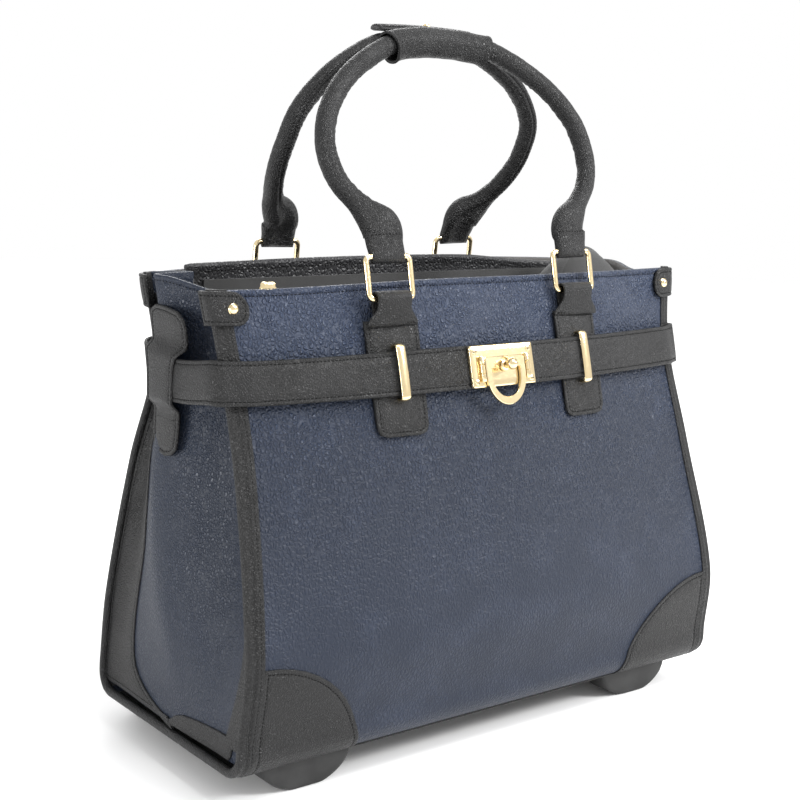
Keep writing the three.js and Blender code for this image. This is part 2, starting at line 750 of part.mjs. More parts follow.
const tubeNames = ["outer", "lower", "middle", "upper"];
for (const [side, sign] of sides) {
  add(`gusset_${side}`, navyLeather, gusset(sign));
  add(`binding_${side}`, blackLeather, binding(sign));
  add(`belt_loop_${side}`, blackLeather, beltLoop(sign));
  add(`front_corner_tab_${side}`, blackLeather, cornerTab(front, sign));
  add(`rear_corner_tab_${side}`, blackLeather, cornerTab(rear, sign));
  add(`front_handle_tab_${side}`, blackLeather, handleTab(front, frontRing, sign));
  add(`rear_handle_tab_${side}`, blackLeather, handleTab(rear, rearRing, sign));
  add(`front_ring_${side}`, goldMetal, handleRing(frontRing, sign));
  add(`rear_ring_${side}`, goldMetal, handleRing(rearRing, sign));
  add(`front_foot_${side}`, blackPlastic, frontFoot(sign));
  add(`wheel_housing_${side}`, blackPlastic, wheelHousing(sign));
  add(`axle_${side}`, aluminium, axle(sign));
  add(`wheel_hub_${side}`, blackPlastic, wheelRing(sign, axleRadius + gap, hubRadius, wheelWidth - 1, 1));
  add(`tyre_${side}`, darkRubber, wheelRing(sign, hubRadius + gap, wheelRadius, wheelWidth, 3));
  tubeNames.forEach((name, level) => {
    add(`${name}_tube_${side}`, aluminium, trolleyTube(level, sign));
  });

  const keeper = new THREE.Group();
  keeper.position.set(sign * tabSpacing, wallY(front, tabSpacing, beltHeight, 0), beltHeight);
  keeper.rotation.x = -beltTilt;
  addTo(keeper, `belt_keeper_${side}`, goldMetal, beltKeeper());
  group.add(keeper);
}

// The origin goes under the middle of the case.
const box = new THREE.Box3().setFromObject(group);
group.position.y = -(box.min.y + box.max.y) / 2;

export default group;
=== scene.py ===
"""The rolling laptop case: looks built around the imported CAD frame.

Inside this script lengths are millimetres in the bag's own frame, where y is counted from the
foot of the front panel; at() turns them into metres in the shared frame.
"""

import math

import bpy
import numpy as np
from mathutils import Matrix, Vector, noise
from mathutils.geometry import delaunay_2d_cdt


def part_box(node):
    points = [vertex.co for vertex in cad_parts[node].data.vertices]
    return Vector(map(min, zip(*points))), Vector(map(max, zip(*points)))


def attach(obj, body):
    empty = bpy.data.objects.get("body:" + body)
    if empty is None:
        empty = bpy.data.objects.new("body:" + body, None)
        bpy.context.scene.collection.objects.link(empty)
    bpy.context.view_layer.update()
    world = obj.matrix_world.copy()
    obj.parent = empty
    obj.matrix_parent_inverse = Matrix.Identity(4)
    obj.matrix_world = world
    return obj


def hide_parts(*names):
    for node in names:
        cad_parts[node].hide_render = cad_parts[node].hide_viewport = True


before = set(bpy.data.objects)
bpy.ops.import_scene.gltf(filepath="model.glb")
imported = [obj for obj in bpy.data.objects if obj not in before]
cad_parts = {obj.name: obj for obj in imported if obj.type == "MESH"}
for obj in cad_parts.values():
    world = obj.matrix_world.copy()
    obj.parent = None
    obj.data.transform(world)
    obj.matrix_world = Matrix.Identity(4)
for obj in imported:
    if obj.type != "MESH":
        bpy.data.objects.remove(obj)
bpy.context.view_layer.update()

# ------------------------------------------------------------------ dimensions
MM = 0.001
AXLE_Y = 178.0
axle_low, axle_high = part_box("axle_left")
SHIFT = AXLE_Y - (axle_low.y + axle_high.y) / 2 / MM

FLOOR_CLEARANCE = 22.0
TOP = 331.0
CORNER_RADIUS = 18.0
CORNER_HEIGHT = FLOOR_CLEARANCE + CORNER_RADIUS
QUARTER_TURN = CORNER_RADIUS * math.pi / 2
PANEL = 3.0
SEAM_ROOM = 6.5

BELT_HEIGHT = 272.0
BELT_WIDTH = 30.0
BELT_THICKNESS = 2.4
BELT_LIFT = 4.6
BELT_TILT = math.radians(15)

TAB_X = 84.0
TAB_WIDTH = 44.0
TAB_NECK = 28.0
TAB_FOOT = 230.0
RING_LOW = 320.0
RING_PITCH = 28.0
FRONT_RING_Y, FRONT_LEAN = 31.2, 6.0
REAR_RING_Y, REAR_LEAN = 174.4, -3.0
HANDLE_RADIUS = 6.9
GRIP_HEIGHT = 493.0
FRONT_GRIP_Y = 92.0
REAR_GRIP_Y = 109.0

STITCH_PITCH = 2.7
STITCH_LENGTH = 2.0
STITCH_RADIUS = 0.34

SIDES = (("left", -1), ("right", 1))


def smooth(pairs):
    """A smooth curve through pairs of (height, value), level beyond its ends."""
    heights = [p[0] for p in pairs]
    values = [p[1] for p in pairs]
    last = len(pairs) - 1
    slopes = []
    for i in range(last + 1):
        a, b = max(i - 1, 0), min(i + 1, last)
        slopes.append((values[b] - values[a]) / (heights[b] - heights[a]))

    def curve(height):
        i = 0
        while i < last - 1 and height > heights[i + 1]:
            i += 1
        span = heights[i + 1] - heights[i]
        t = min(max((height - heights[i]) / span, 0.0), 1.0)
        rise = 3 * t * t - 2 * t**3
        leave = span * slopes[i] * (t**3 - 2 * t * t + t)
        arrive = span * slopes[i + 1] * (t**3 - t * t)
        return values[i] * (1 - rise) + values[i + 1] * rise + leave + arrive

    return curve


half_width = smooth([(22, 219), (100, 215.3), (200, 207), (272, 204.7), (331, 210.8)])
front_corner = smooth([(46, -2), (100, -6), (200, 20), (272, 43), (331, 54)])
rear_corner = smooth([(46, 194), (100, 189), (200, 168), (272, 139), (331, 141)])
front_swell = smooth([(46, 0), (100, 5), (200, 15), (272, 22), (331, 16)])
rear_swell = smooth([(46, 0), (100, 2), (200, 15), (272, 29), (331, 31)])


def step(value, low, high):
    """0 below low, 1 above high, smooth between."""
    t = min(max((value - low) / (high - low), 0.0), 1.0)
    return t * t * (3 - 2 * t)


def mix(a, b, t):
    return a + (b - a) * t


def hump(value, middle, width):
    return math.exp(-(((value - middle) / width) ** 2))


def wave(x, y, z, size, seed):
    """Smooth noise from -1 to 1 with waves of about `size` mm."""
    return noise.noise(Vector((x / size + seed, y / size - seed, z / size + 2 * seed)))


# ------------------------------------------------------------------ surfaces
class Wall:
    def __init__(self, outward, corner, swell, seed):
        self.outward = outward
        self.corner = corner
        self.swell = swell
        self.seed = seed


FRONT = Wall(-1, front_corner, front_swell, 3.1)
REAR = Wall(1, rear_corner, rear_swell, 7.7)


def dents(wall, x, z):
    """How far the soft leather stands out of (or, below 0, sinks into) its even surface."""
    belly = 0.7 * wave(x, 0, z, 70, wall.seed) + 0.3 * wave(x, 0, z, 26, wall.seed + 5)
    pulled = 0.0
    for side in (-1, 1):
        inner = hump(x, side * TAB_X - 33, 15) * 2.6
        outer = hump(x, side * TAB_X + 33, 13) * 1.0
        pulled += (inner + outer) * hump(z, 306, 17)
    waist = 1.4 * hump(z, BELT_HEIGHT, 16)
    fade = step(z, CORNER_HEIGHT, CORNER_HEIGHT + 30)
    return fade * (belly - pulled - waist)


def wall_skin(wall, x, s, lift=0.0):
    """A point on the front or rear wall. s is its height, and below the corner it carries on
    round the quarter turn and under the bag; lift is how far it stands out."""
    if s >= CORNER_HEIGHT:
        t = min(max(x / half_width(s), -1), 1)
        out = wall.swell(s) * (1 - t * t) + dents(wall, x, s) * (1 - t**6) + lift
        return Vector((x, wall.corner(s) + wall.outward * out, s))
    arc = CORNER_HEIGHT - s
    centre = wall.corner(CORNER_HEIGHT) - wall.outward * CORNER_RADIUS
    if arc <= QUARTER_TURN:
        angle = arc / CORNER_RADIUS
        reach = CORNER_RADIUS + lift
        y = centre + wall.outward * reach * math.cos(angle)
        return Vector((x, y, CORNER_HEIGHT - reach * math.sin(angle)))
    y = centre - wall.outward * (arc - QUARTER_TURN)
    return Vector((x, y, FLOOR_CLEARANCE - lift))


def settle(point):
    """The left end of the front edge hangs a little lower than the right one."""
    left = step(-point.x, 20, 190)
    high = step(point.z, 200, TOP)
    near = 1 - step(point.y, 75, 125)
    return Vector((point.x, point.y, point.z - 3.6 * left * high * near))


def at(point):
    x, y, z = point
    return (x * MM, (y - SHIFT) * MM, z * MM)


# ------------------------------------------------------------------ mesh tools
def make(name, points, faces, material, sharp=None, warp=False):
    """A mesh object from points in millimetres."""
    placed = [at(settle(Vector(p)) if warp else p) for p in points]
    mesh = bpy.data.meshes.new(name)
    mesh.from_pydata(placed, [], faces)
    mesh.shade_smooth()
    if sharp is not None:
        mesh.set_sharp_from_angle(angle=math.radians(sharp))
    mesh.materials.append(material)
    obj = bpy.data.objects.new(name, mesh)
    bpy.context.scene.collection.objects.link(obj)
    return obj


def loft(name, loops, material, closed=False, sharp=None, warp=False):
    """Closed loops of points joined one to the next; open ends are capped."""
    count = len(loops[0])
    points = [p for loop in loops for p in loop]
    faces = []
    rows = len(loops) if closed else len(loops) - 1
    for i in range(rows):
        a, b = i * count, ((i + 1) % len(loops)) * count
        for j in range(count):
            k = (j + 1) % count
            faces.append((a + j, a + k, b + k, b + j))
    if not closed:
        faces.append(tuple(range(count - 1, -1, -1)))
        faces.append(tuple((len(loops) - 1) * count + j for j in range(count)))
    obj = make(name, points, faces, material, sharp, warp)
    turn_outward(obj)
    return obj


def turn_outward(obj):
    """Turns a closed mesh's faces outwards."""
    mesh = obj.data
    volume = 0.0
    for polygon in mesh.polygons:
        corners = [mesh.vertices[i].co for i in polygon.vertices]
        for i in range(1, len(corners) - 1):
            volume += corners[0].dot(corners[i].cross(corners[i + 1]))
    if volume < 0:
        mesh.flip_normals()


def resample(points, spacing, closed=False):
    """Points at even distances along a line."""
    line = [Vector(p) for p in points]
    if closed:
        line.append(line[0])
    lengths = [0.0]
    for a, b in zip(line, line[1:]):
        lengths.append(lengths[-1] + (b - a).length)
    count = max(int(round(lengths[-1] / spacing)), 2)
    out = []
    i = 0
    for k in range(count if closed else count + 1):
        goal = lengths[-1] * k / count
        while i < len(line) - 2 and lengths[i + 1] < goal:
            i += 1
        span = lengths[i + 1] - lengths[i]
        out.append(line[i].lerp(line[i + 1], (goal - lengths[i]) / span if span else 0))
    return out


def spline(points, per_span):
    """A curve that runs smoothly through every point."""
    line = [Vector(p) for p in points]
    line = [2 * line[0] - line[1]] + line + [2 * line[-1] - line[-2]]
    out = []
    for a, b, c, d in zip(line, line[1:], line[2:], line[3:]):
        for k in range(per_span):
            t = k / per_span
            out.append(
                0.5
                * (
                    2 * b
                    + (c - a) * t
                    + (2 * a - 5 * b + 4 * c - d) * t * t
                    + (3 * b - a - 3 * c + d) * t**3
                )
            )
    out.append(line[-2])
    return out


def inset(outline, distance):
    """The outline moved inwards; the outline runs counter-clockwise."""
    count = len(outline)
    moved = []
    for i, p in enumerate(outline):
        before = (p - outline[i - 1]).normalized()
        after = (outline[(i + 1) % count] - p).normalized()
        left = Vector((-before.y - after.y, before.x + after.x))
        share = left.length / 2
        moved.append(p + left.normalized() * (distance / max(share, 0.7)))
    return moved


def inside(points, outline):
    """Which of the points lie in the outline, and how far each is from it."""
    a = np.array([tuple(p) for p in outline])
    b = np.roll(a, -1, axis=0)
    x, y = points[:, 0:1], points[:, 1:2]
    crosses = (a[:, 1] > y) != (b[:, 1] > y)
    with np.errstate(divide="ignore", invalid="ignore"):
        where = (b[:, 0] - a[:, 0]) * (y - a[:, 1]) / (b[:, 1] - a[:, 1]) + a[:, 0]
    within = (crosses & (x < where)).sum(axis=1) % 2 == 1
    edge = b - a
    along = ((x - a[:, 0]) * edge[:, 0] + (y - a[:, 1]) * edge[:, 1]) / (edge**2).sum(axis=1)
    along = np.clip(along, 0, 1)
    gap = np.hypot(x - a[:, 0] - along * edge[:, 0], y - a[:, 1] - along * edge[:, 1])
    return within, gap.min(axis=1)


def applique(name, outline, skin, material, thickness=1.5, stitch=3.2, base=-0.4, fill=5.0,
             crown=0.3, warp=True, sew=None, spacing=1.6):
    """A piece of leather laid on a surface, with a rounded edge and a sunk line of stitches.

    outline holds (s, t) points in mm, and skin(s, t, lift) puts them on the surface.
    """
    edge = [Vector(p) for p in resample([Vector((p[0], p[1])) for p in outline], spacing, True)]
    area = sum(p.cross(q) for p, q in zip(edge, edge[1:] + edge[:1]))
    if area < 0:
        edge.reverse()
    steps = [(0.0, thickness * 0.5), (thickness * 0.15, thickness * 0.85), (thickness * 0.5, thickness)]
    if stitch:
        steps += [(stitch - 0.9, thickness), (stitch, thickness - 0.45), (stitch + 0.9, thickness)]
    flat = []
    lifts = []
    for distance, lift in steps:
        flat += inset(edge, distance) if distance else list(edge)
        lifts += [lift] * len(edge)
    rim = inset(edge, steps[-1][0])
    low = np.array([min(p.x for p in rim), min(p.y for p in rim)])
    high = np.array([max(p.x for p in rim), max(p.y for p in rim)])
    grid = np.stack(np.meshgrid(np.arange(low[0], high[0], fill), np.arange(low[1], high[1], fill)), -1)
    grid = grid.reshape(-1, 2)
    within, gap = inside(grid, rim)
    keep = within & (gap > fill * 0.45)
    ring = len(edge)
    inner = [Vector((float(a), float(b))) for a, b in grid[keep]]
    rim_points = flat[-ring:]
    edges = [(i, (i + 1) % ring) for i in range(ring)]
    result = delaunay_2d_cdt([Vector((p.x, p.y)) for p in rim_points + inner], edges, [], 1, 1e-7)
    made, made_faces, origin = result[0], result[2], result[3]
    start = len(flat) - ring
    flat += inner
    lifts += [thickness + crown * min(1.0, float(g) / 8) for g in gap[keep]]
    number = {}
    for i, source in enumerate(origin):
        if source:
            number[i] = start + source[0]
        else:
            number[i] = len(flat)
            flat.append(made[i])
            lifts.append(thickness)
    total = len(flat)
    faces = []
    for k in range(len(steps) - 1):
        for j in range(ring):
            n = (j + 1) % ring
            faces.append((k * ring + j, k * ring + n, (k + 1) * ring + n, (k + 1) * ring + j))
    faces += [tuple(number[i] for i in face) for face in made_faces]
    under = [tuple(total + i for i in reversed(face)) for face in faces]
    sides = [(j, total + j, total + (j + 1) % ring, (j + 1) % ring) for j in range(ring)]
    points = [skin(p.x, p.y, lift) for p, lift in zip(flat, lifts)]
    points += [skin(p.x, p.y, base) for p in flat]
    obj = make(name, points, faces + under + sides, material, warp=warp)
    turn_outward(obj)
    if stitch and sew:
        sew_line(name + "_stitches", inset(edge, stitch), skin, thickness - 0.3, sew, True, obj, warp)
    return obj


def stitch_mesh(points, faces, centre, along, up):
    """Adds one small sunk thread to lists of points and faces."""
    across = along.cross(up).normalized()
    up = across.cross(along).normalized()
    half = STITCH_LENGTH / 2
    first = len(points)
    sides = 5
    points.append(centre - along * half - up * STITCH_RADIUS * 0.6)
    for place, size in ((-0.55, 0.85), (0.0, 1.0), (0.55, 0.85)):
        for j in range(sides):
            angle = 2 * math.pi * j / sides
            spread = across * math.cos(angle) + up * math.sin(angle)
            points.append(centre + along * half * place + spread * STITCH_RADIUS * size)
    points.append(centre + along * half - up * STITCH_RADIUS * 0.6)
    last = len(points) - 1
    for j in range(sides):
        k = (j + 1) % sides
        faces.append((first, first + 1 + k, first + 1 + j))
        for row in (0, 1):
            a = first + 1 + row * sides
            faces.append((a + j, a + k, a + sides + k, a + sides + j))
        a = first + 1 + 2 * sides
        faces.append((a + j, a + k, last))


def sew_line(name, line, skin, lift, material, closed, parent, warp=True):
    """Stitches along a line of (s, t) points on a surface."""
    path = [skin(p[0], p[1], lift) for p in line]
    above = [skin(p[0], p[1], lift + 1) for p in line]
    sew_path(name, path, above, material, closed, parent, warp)


def sew_path(name, path, above, material, closed, parent, warp=True):
    """Stitches along a path; above holds a point over each of its points, away from the leather."""
    pairs = [Vector((*p, *(q - p))) for p, q in zip(path, above)]
    spaced = resample_pairs(pairs, STITCH_PITCH, closed)
    points, faces = [], []
    count = len(spaced)
    for i, (centre, up) in enumerate(spaced):
        if closed:
            along = spaced[(i + 1) % count][0] - spaced[i - 1][0]
        else:
            along = spaced[min(i + 1, count - 1)][0] - spaced[max(i - 1, 0)][0]
        stitch_mesh(points, faces, centre, along.normalized(), up.normalized())
    obj = make(name, points, faces, material, warp=warp)
    obj.parent = parent
    return obj


def resample_pairs(pairs, spacing, closed):
    """Even steps along a line of six-number points, measured on the first three."""
    line = list(pairs) + ([pairs[0]] if closed else [])
    lengths = [0.0]
    for a, b in zip(line, line[1:]):
        lengths.append(lengths[-1] + (Vector(b[:3]) - Vector(a[:3])).length)
    count = max(int(round(lengths[-1] / spacing)), 2)
    out = []
    i = 0
    for k in range(count):
        goal = lengths[-1] * (k + (0 if closed else 0.5)) / count
        while i < len(line) - 2 and lengths[i + 1] < goal:
            i += 1
        span = lengths[i + 1] - lengths[i]
        both = line[i].lerp(line[i + 1], (goal - lengths[i]) / span if span else 0)
        out.append((Vector(both[:3]), Vector(both[3:])))
    return out


def lathe(name, profile, centre, axis, material, sides, sharp=None, closed=False):
    """A turned shape: profile holds (distance along the axis, radius)."""
    axis = Vector(axis).normalized()
    across = axis.orthogonal().normalized()
    other = axis.cross(across)
    loops = []
    for along, radius in profile:
        loop = []
        for j in range(sides):
            angle = 2 * math.pi * j / sides
            spread = across * math.cos(angle) + other * math.sin(angle)
            loop.append(Vector(centre) + axis * along + spread * radius)
        loops.append(loop)
    return loft(name, loops, material, closed, sharp)


# ------------------------------------------------------------------ materials
class Nodes:
    """Short hand for building a material's nodes."""

    def __init__(self, name):
        self.material = bpy.data.materials.new(name)
        self.material.use_nodes = True
        self.tree = self.material.node_tree
        self.shader = self.tree.nodes["Principled BSDF"]
        self.place = self.add("ShaderNodeTexCoord").outputs["Object"]

    def add(self, kind, inputs=(), **settings):
        node = self.tree.nodes.new(kind)
        for key, value in settings.items():
            setattr(node, key, value)
        for key, value in dict(inputs).items():
            if isinstance(value, bpy.types.NodeSocket):
                self.tree.links.new(value, node.inputs[key])
            else:
                node.inputs[key].default_value = value
        return node

    def math(self, operation, a, b=0.0):
        return self.add("ShaderNodeMath", {0: a, 1: b}, operation=operation).outputs[0]

    def blend(self, factor, a, b):
        node = self.add("ShaderNodeMix", {0: factor}, data_type="RGBA")
        for key, value in ((6, a), (7, b)):
            if isinstance(value, bpy.types.NodeSocket):
                self.tree.links.new(value, node.inputs[key])
            else:
                node.inputs[key].default_value = value
        return node.outputs[2]

    def ramp(self, value, low, high, to_low=0.0, to_high=1.0):
        node = self.add(
            "ShaderNodeMapRange", {0: value, 1: low, 2: high, 3: to_low, 4: to_high},
            interpolation_type="SMOOTHSTEP",
        )
        return node.outputs[0]

    def bump(self, height, strength, distance):
        """Relief on the surface: a height of 1 stands out by the distance in mm."""
        node = self.add(
            "ShaderNodeBump", {"Strength": strength, "Distance": distance * MM, "Height": height}
        )
        self.link(node.outputs[0], "Normal")

    def noise(self, vector, scale, detail=2.0, roughness=0.5):
        node = self.add(
            "ShaderNodeTexNoise",
            {"Vector": vector, "Scale": scale, "Detail": detail, "Roughness": roughness},
        )
        return node.outputs["Fac"]

    def link(self, output, name):
        self.tree.links.new(output, self.shader.inputs[name])

    def set(self, **values):
        for key, value in values.items():
            self.shader.inputs[key.replace("_", " ")].default_value = value


def grey(value):
    return (value, value, value, 1)


def leather(name, valley, body, patch_and_highlight, cell, depth, rough, specular, smooth_low_and_painted_light=0.0):
    """Grained leather: rounded pebbles between fine creases that are darkened as painted shade, over a slow
    change of tone.

    cell and depth are the pebbles' size and relief in mm, rough goes from creases to pebbles, and
    smooth_low_and_painted_light is how much the grain fades towards the bag's foot; when it is set, the
    colour also darkens towards the foot as painted shade and lightens near the top as a painted highlight.
    """
    n = Nodes(name)
    turned = n.add(
        "ShaderNodeMapping",
        {"Vector": n.place, "Rotation": (0.25, 0.45, 0.2), "Scale": (1.0, 1.0, 0.72)},
    ).outputs[0]
    drift = n.add("ShaderNodeTexNoise", {"Vector": turned, "Scale": 260.0, "Detail": 1.0})
    shifted = n.add(
        "ShaderNodeVectorMath",
        {0: drift.outputs["Color"], 1: (0.0016, 0.0016, 0.0016)},
        operation="MULTIPLY",
    ).outputs[0]
    spot = n.add("ShaderNodeVectorMath", {0: turned, 1: shifted}, operation="ADD").outputs[0]
    scale = 1 / (cell * MM)
    cells = n.add(
        "ShaderNodeTexVoronoi", {"Vector": spot, "Scale": scale}, feature="DISTANCE_TO_EDGE"
    ).outputs["Distance"]
    pebble = n.ramp(cells, 0.0, 0.32)
    fine = n.noise(n.place, 2600.0, 3.0, 0.6)
    patch = n.noise(n.place, 34.0, 3.0, 0.55)
    strength = n.ramp(patch, 0.3, 0.7, 0.45, 1.0)
    if smooth_low_and_painted_light:
        height = n.add("ShaderNodeSeparateXYZ", {0: n.place}).outputs[2]
        strength = n.math("MULTIPLY", strength, n.ramp(height, 0.10, 0.29, 1 - smooth_low_and_painted_light, 1.0))
    relief = n.math("MULTIPLY", pebble, strength)
    relief = n.math("ADD", relief, n.math("MULTIPLY", fine, 0.18))
    n.bump(relief, 1.0, depth)
    # The creases between pebbles take the darker valley colour as painted shade.
    tone = n.blend(n.math("MULTIPLY", n.math("SUBTRACT", 1.0, pebble), strength), body, valley)
    tone = n.blend(n.ramp(patch, 0.35, 0.75, 0.0, 0.55), tone, patch_and_highlight)
    # Painted shade: the colour darkens towards the bag's foot; painted highlight: it lightens near the top.
    if smooth_low_and_painted_light:
        tone = n.blend(n.ramp(height, 0.17, 0.30, 0.5, 0.0), tone, valley)
        tone = n.blend(n.ramp(height, 0.23, 0.33, 0.0, 0.5), tone, patch_and_highlight)
    n.link(tone, "Base Color")
    n.link(n.ramp(relief, 0.1, 1.0, rough[0], rough[1]), "Roughness")
    n.set(Specular_IOR_Level=specular)
    return n.material


# The navy leather is darkened towards the foot as painted shade and lightened near the top as a painted
# highlight.
navy = leather(
    "leather_navy_grain", (0.004, 0.007, 0.015, 1), (0.014, 0.021, 0.040, 1),
    (0.038, 0.050, 0.084, 1), cell=2.5, depth=1.3, rough=(0.44, 0.22), specular=0.26,
    smooth_low_and_painted_light=0.6,
)
# The side leather is the navy leather with darker colours as painted shade; its grain differs too.
navy_side_shaded = leather(
    "leather_navy_side_painted_shade", (0.005, 0.008, 0.015, 1), (0.009, 0.014, 0.027, 1),
    (0.016, 0.022, 0.038, 1), cell=1.8, depth=0.5, rough=(0.46, 0.31), specular=0.25,
)
black = leather(
    "leather_black_grain", (0.003, 0.003, 0.003, 1), (0.010, 0.010, 0.0105, 1),
    (0.015, 0.015, 0.0155, 1), cell=1.5, depth=0.55, rough=(0.5, 0.32), specular=0.28,
)
# Black leather with lighter colours, as painted light for the divider facing's sheen.
black_pebble_painted_light = leather(
    "leather_black_pebble_painted_light", (0.003, 0.003, 0.0035, 1), (0.024, 0.024, 0.026, 1),
    (0.048, 0.048, 0.052, 1), cell=2.4, depth=0.7, rough=(0.5, 0.3), specular=0.4,
)


def thread_material():
    n = Nodes("thread_black")
    twist = n.noise(n.place, 4200.0, 1.0)
    n.link(n.blend(twist, grey(0.001), grey(0.005)), "Base Color")
    n.bump(twist, 0.6, 0.1)
    n.set(Roughness=0.7, Specular_IOR_Level=0.12)
    return n.material


def gold_material():
    n = Nodes("gold_plated")
    fine = n.noise(n.place, 900.0, 4.0, 0.6)
    cloud = n.noise(n.place, 60.0, 2.0)
    n.link(n.blend(cloud, (0.74, 0.59, 0.34, 1), (0.82, 0.68, 0.43, 1)), "Base Color")
    n.link(n.ramp(fine, 0.3, 0.8, 0.14, 0.24), "Roughness")
    n.bump(fine, 0.12, 0.05)
    n.set(Metallic=1.0)
    return n.material


def plastic_material(name, dark, light, rough):
    n = Nodes(name)
    grain = n.noise(n.place, 2400.0, 2.0, 0.6)
    wear = n.noise(n.place, 45.0, 4.0, 0.6)
    n.link(n.blend(n.ramp(wear, 0.35, 0.7), dark, light), "Base Color")
    n.set(Specular_IOR_Level=0.3)
    n.link(n.ramp(grain, 0.2, 0.8, rough - 0.08, rough + 0.1), "Roughness")
    n.bump(grain, 0.5, 0.06)
    return n.material


def aluminium_material():
    n = Nodes("aluminium_satin")
    stretched = n.add("ShaderNodeMapping", {"Vector": n.place, "Scale": (1, 1, 0.02)}).outputs[0]
    lines = n.noise(stretched, 2600.0, 3.0, 0.7)
    n.link(n.blend(lines, (0.26, 0.265, 0.28, 1), (0.38, 0.385, 0.40, 1)), "Base Color")
    n.link(n.ramp(lines, 0.2, 0.8, 0.24, 0.4), "Roughness")
    n.bump(lines, 0.3, 0.03)
    n.set(Metallic=1.0)
    return n.material


def nylon_material(name, dark, light, pitch=0.55):
    """Plain weave: over and under threads from two crossed waves."""
    n = Nodes(name)
    turn = 2 * math.pi / (pitch * MM)
    axes = n.add("ShaderNodeSeparateXYZ", {0: n.place})
    across = n.math("SINE", n.math("MULTIPLY", axes.outputs[0], turn))
    depth = n.math("ADD", axes.outputs[1], axes.outputs[2])
    along = n.math("SINE", n.math("MULTIPLY", depth, turn))
    weave = n.ramp(n.math("MULTIPLY", across, along), -1.0, 1.0)
    haze = n.noise(n.place, 70.0, 3.0, 0.6)
    tone = n.blend(weave, dark, light)
    n.link(n.blend(n.ramp(haze, 0.4, 0.7, 0.0, 0.4), tone, light), "Base Color")
    n.bump(weave, 0.7, 0.12)
    n.set(Roughness=0.72, Sheen_Weight=0.15)
    return n.material


def board_material():
    n = Nodes("fibre_board_pressed")
    fibres = n.noise(n.place, 420.0, 5.0, 0.7)
    n.link(n.blend(fibres, (0.028, 0.026, 0.022, 1), (0.06, 0.055, 0.045, 1)), "Base Color")
    n.bump(fibres, 0.4, 0.2)
    n.set(Roughness=0.85)
    return n.material


thread = thread_material()
gold = gold_material()
plastic = plastic_material("plastic_dark_grey", grey(0.018), grey(0.030), 0.55)
plastic_dark = plastic_material("plastic_black_fine", grey(0.010), grey(0.020), 0.6)
rubber = plastic_material("rubber_tyre", grey(0.010), grey(0.022), 0.75)
aluminium = aluminium_material()
nylon = nylon_material("nylon_black_woven", grey(0.008), grey(0.030))
lining = nylon_material("lining_woven", (0.035, 0.032, 0.030, 1), (0.075, 0.070, 0.066, 1), 0.9)
board = board_material()

# ------------------------------------------------------------------ bag walls
# Rows from the top of a wall: distance below the top edge and how far the hem stands out.
HEM = [(0.9, 0.9), (1.8, 1.15), (2.9, 0.75), (3.7, 0.05), (4.3, -0.35), (4.9, 0.0), (6.2, 0.45),
       (9.0, 0.3), (13.0, 0.0)]
HEM_STITCH = 4.3
UNDER = CORNER_HEIGHT - QUARTER_TURN
RIM_HALF = 205
FACE_ROWS = 60


def wall_section(wall, t, top):
    """One closed cross-section of a wall: up its face, over the hem and down its inside."""
    face = []
    for i in range(9):
        face.append((mix(UNDER, CORNER_HEIGHT, i / 9), 0.0))
    low = top - HEM[-1][0]
    for i in range(FACE_ROWS):
        face.append((mix(CORNER_HEIGHT, low, i / FACE_ROWS), 0.0))
    for below, out in reversed(HEM):
        face.append((top - below, out))
    face.append((top - 0.25, 0.2))
    face.append((top, -PANEL / 2))
    face.append((top - 0.25, -PANEL - 0.2))
    face.append((top - 1.6, -PANEL - 0.8))
    face.append((top - 5.0, -PANEL - 0.5))
    face.append((top - 9.0, -PANEL))
    back_rows = FACE_ROWS // 3
    for i in range(back_rows + 1):
        face.append((mix(low - 2, CORNER_HEIGHT, i / back_rows), -PANEL))
    for i in range(1, 7):
        face.append((mix(CORNER_HEIGHT, UNDER, i / 6), -PANEL))
    loop = []
    for s, lift in face:
        x = t * (half_width(max(s, FLOOR_CLEARANCE)) - SEAM_ROOM)
        loop.append(wall_skin(wall, x, s, lift))
    return loop


def front_top(x):
    return TOP


def rear_top(x):
    return TOP + 3 * (1 - (x / 211) ** 2)


def wall_panel(name, wall, top_of, node, material):
    columns = 130
    loops = []
    for i in range(columns + 1):
        t = 2 * i / columns - 1
        loops.append(wall_section(wall, t, top_of(t * RIM_HALF)))
    panel = loft(name, loops, material, warp=True)
    reach = [t / 60 for t in range(-60, 61)]
    seam = [(t * (half_width(TOP) - 13), top_of(t * RIM_HALF) - HEM_STITCH) for t in reach]
    sew_line(name + "_hem_stitches", seam, lambda x, s, lift: wall_skin(wall, x, s, lift - 0.2),
             0.0, thread, False, panel)
    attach(panel, "bag")
    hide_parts(node)
    return panel


def line_inside(piece, inward):
    """Gives the faces that look into the bag the lining's material."""
    piece.data.materials.append(lining)
    for polygon in piece.data.polygons:
        if polygon.normal.dot(inward) > 0.5:
            polygon.material_index = 1


front_panel = wall_panel("front_panel_leather", FRONT, front_top, "front_panel", navy)
rear_panel = wall_panel("rear_panel_leather", REAR, rear_top, "rear_panel", navy)
line_inside(front_panel, Vector((0, 1, 0)))
line_inside(rear_panel, Vector((0, -1, 0)))


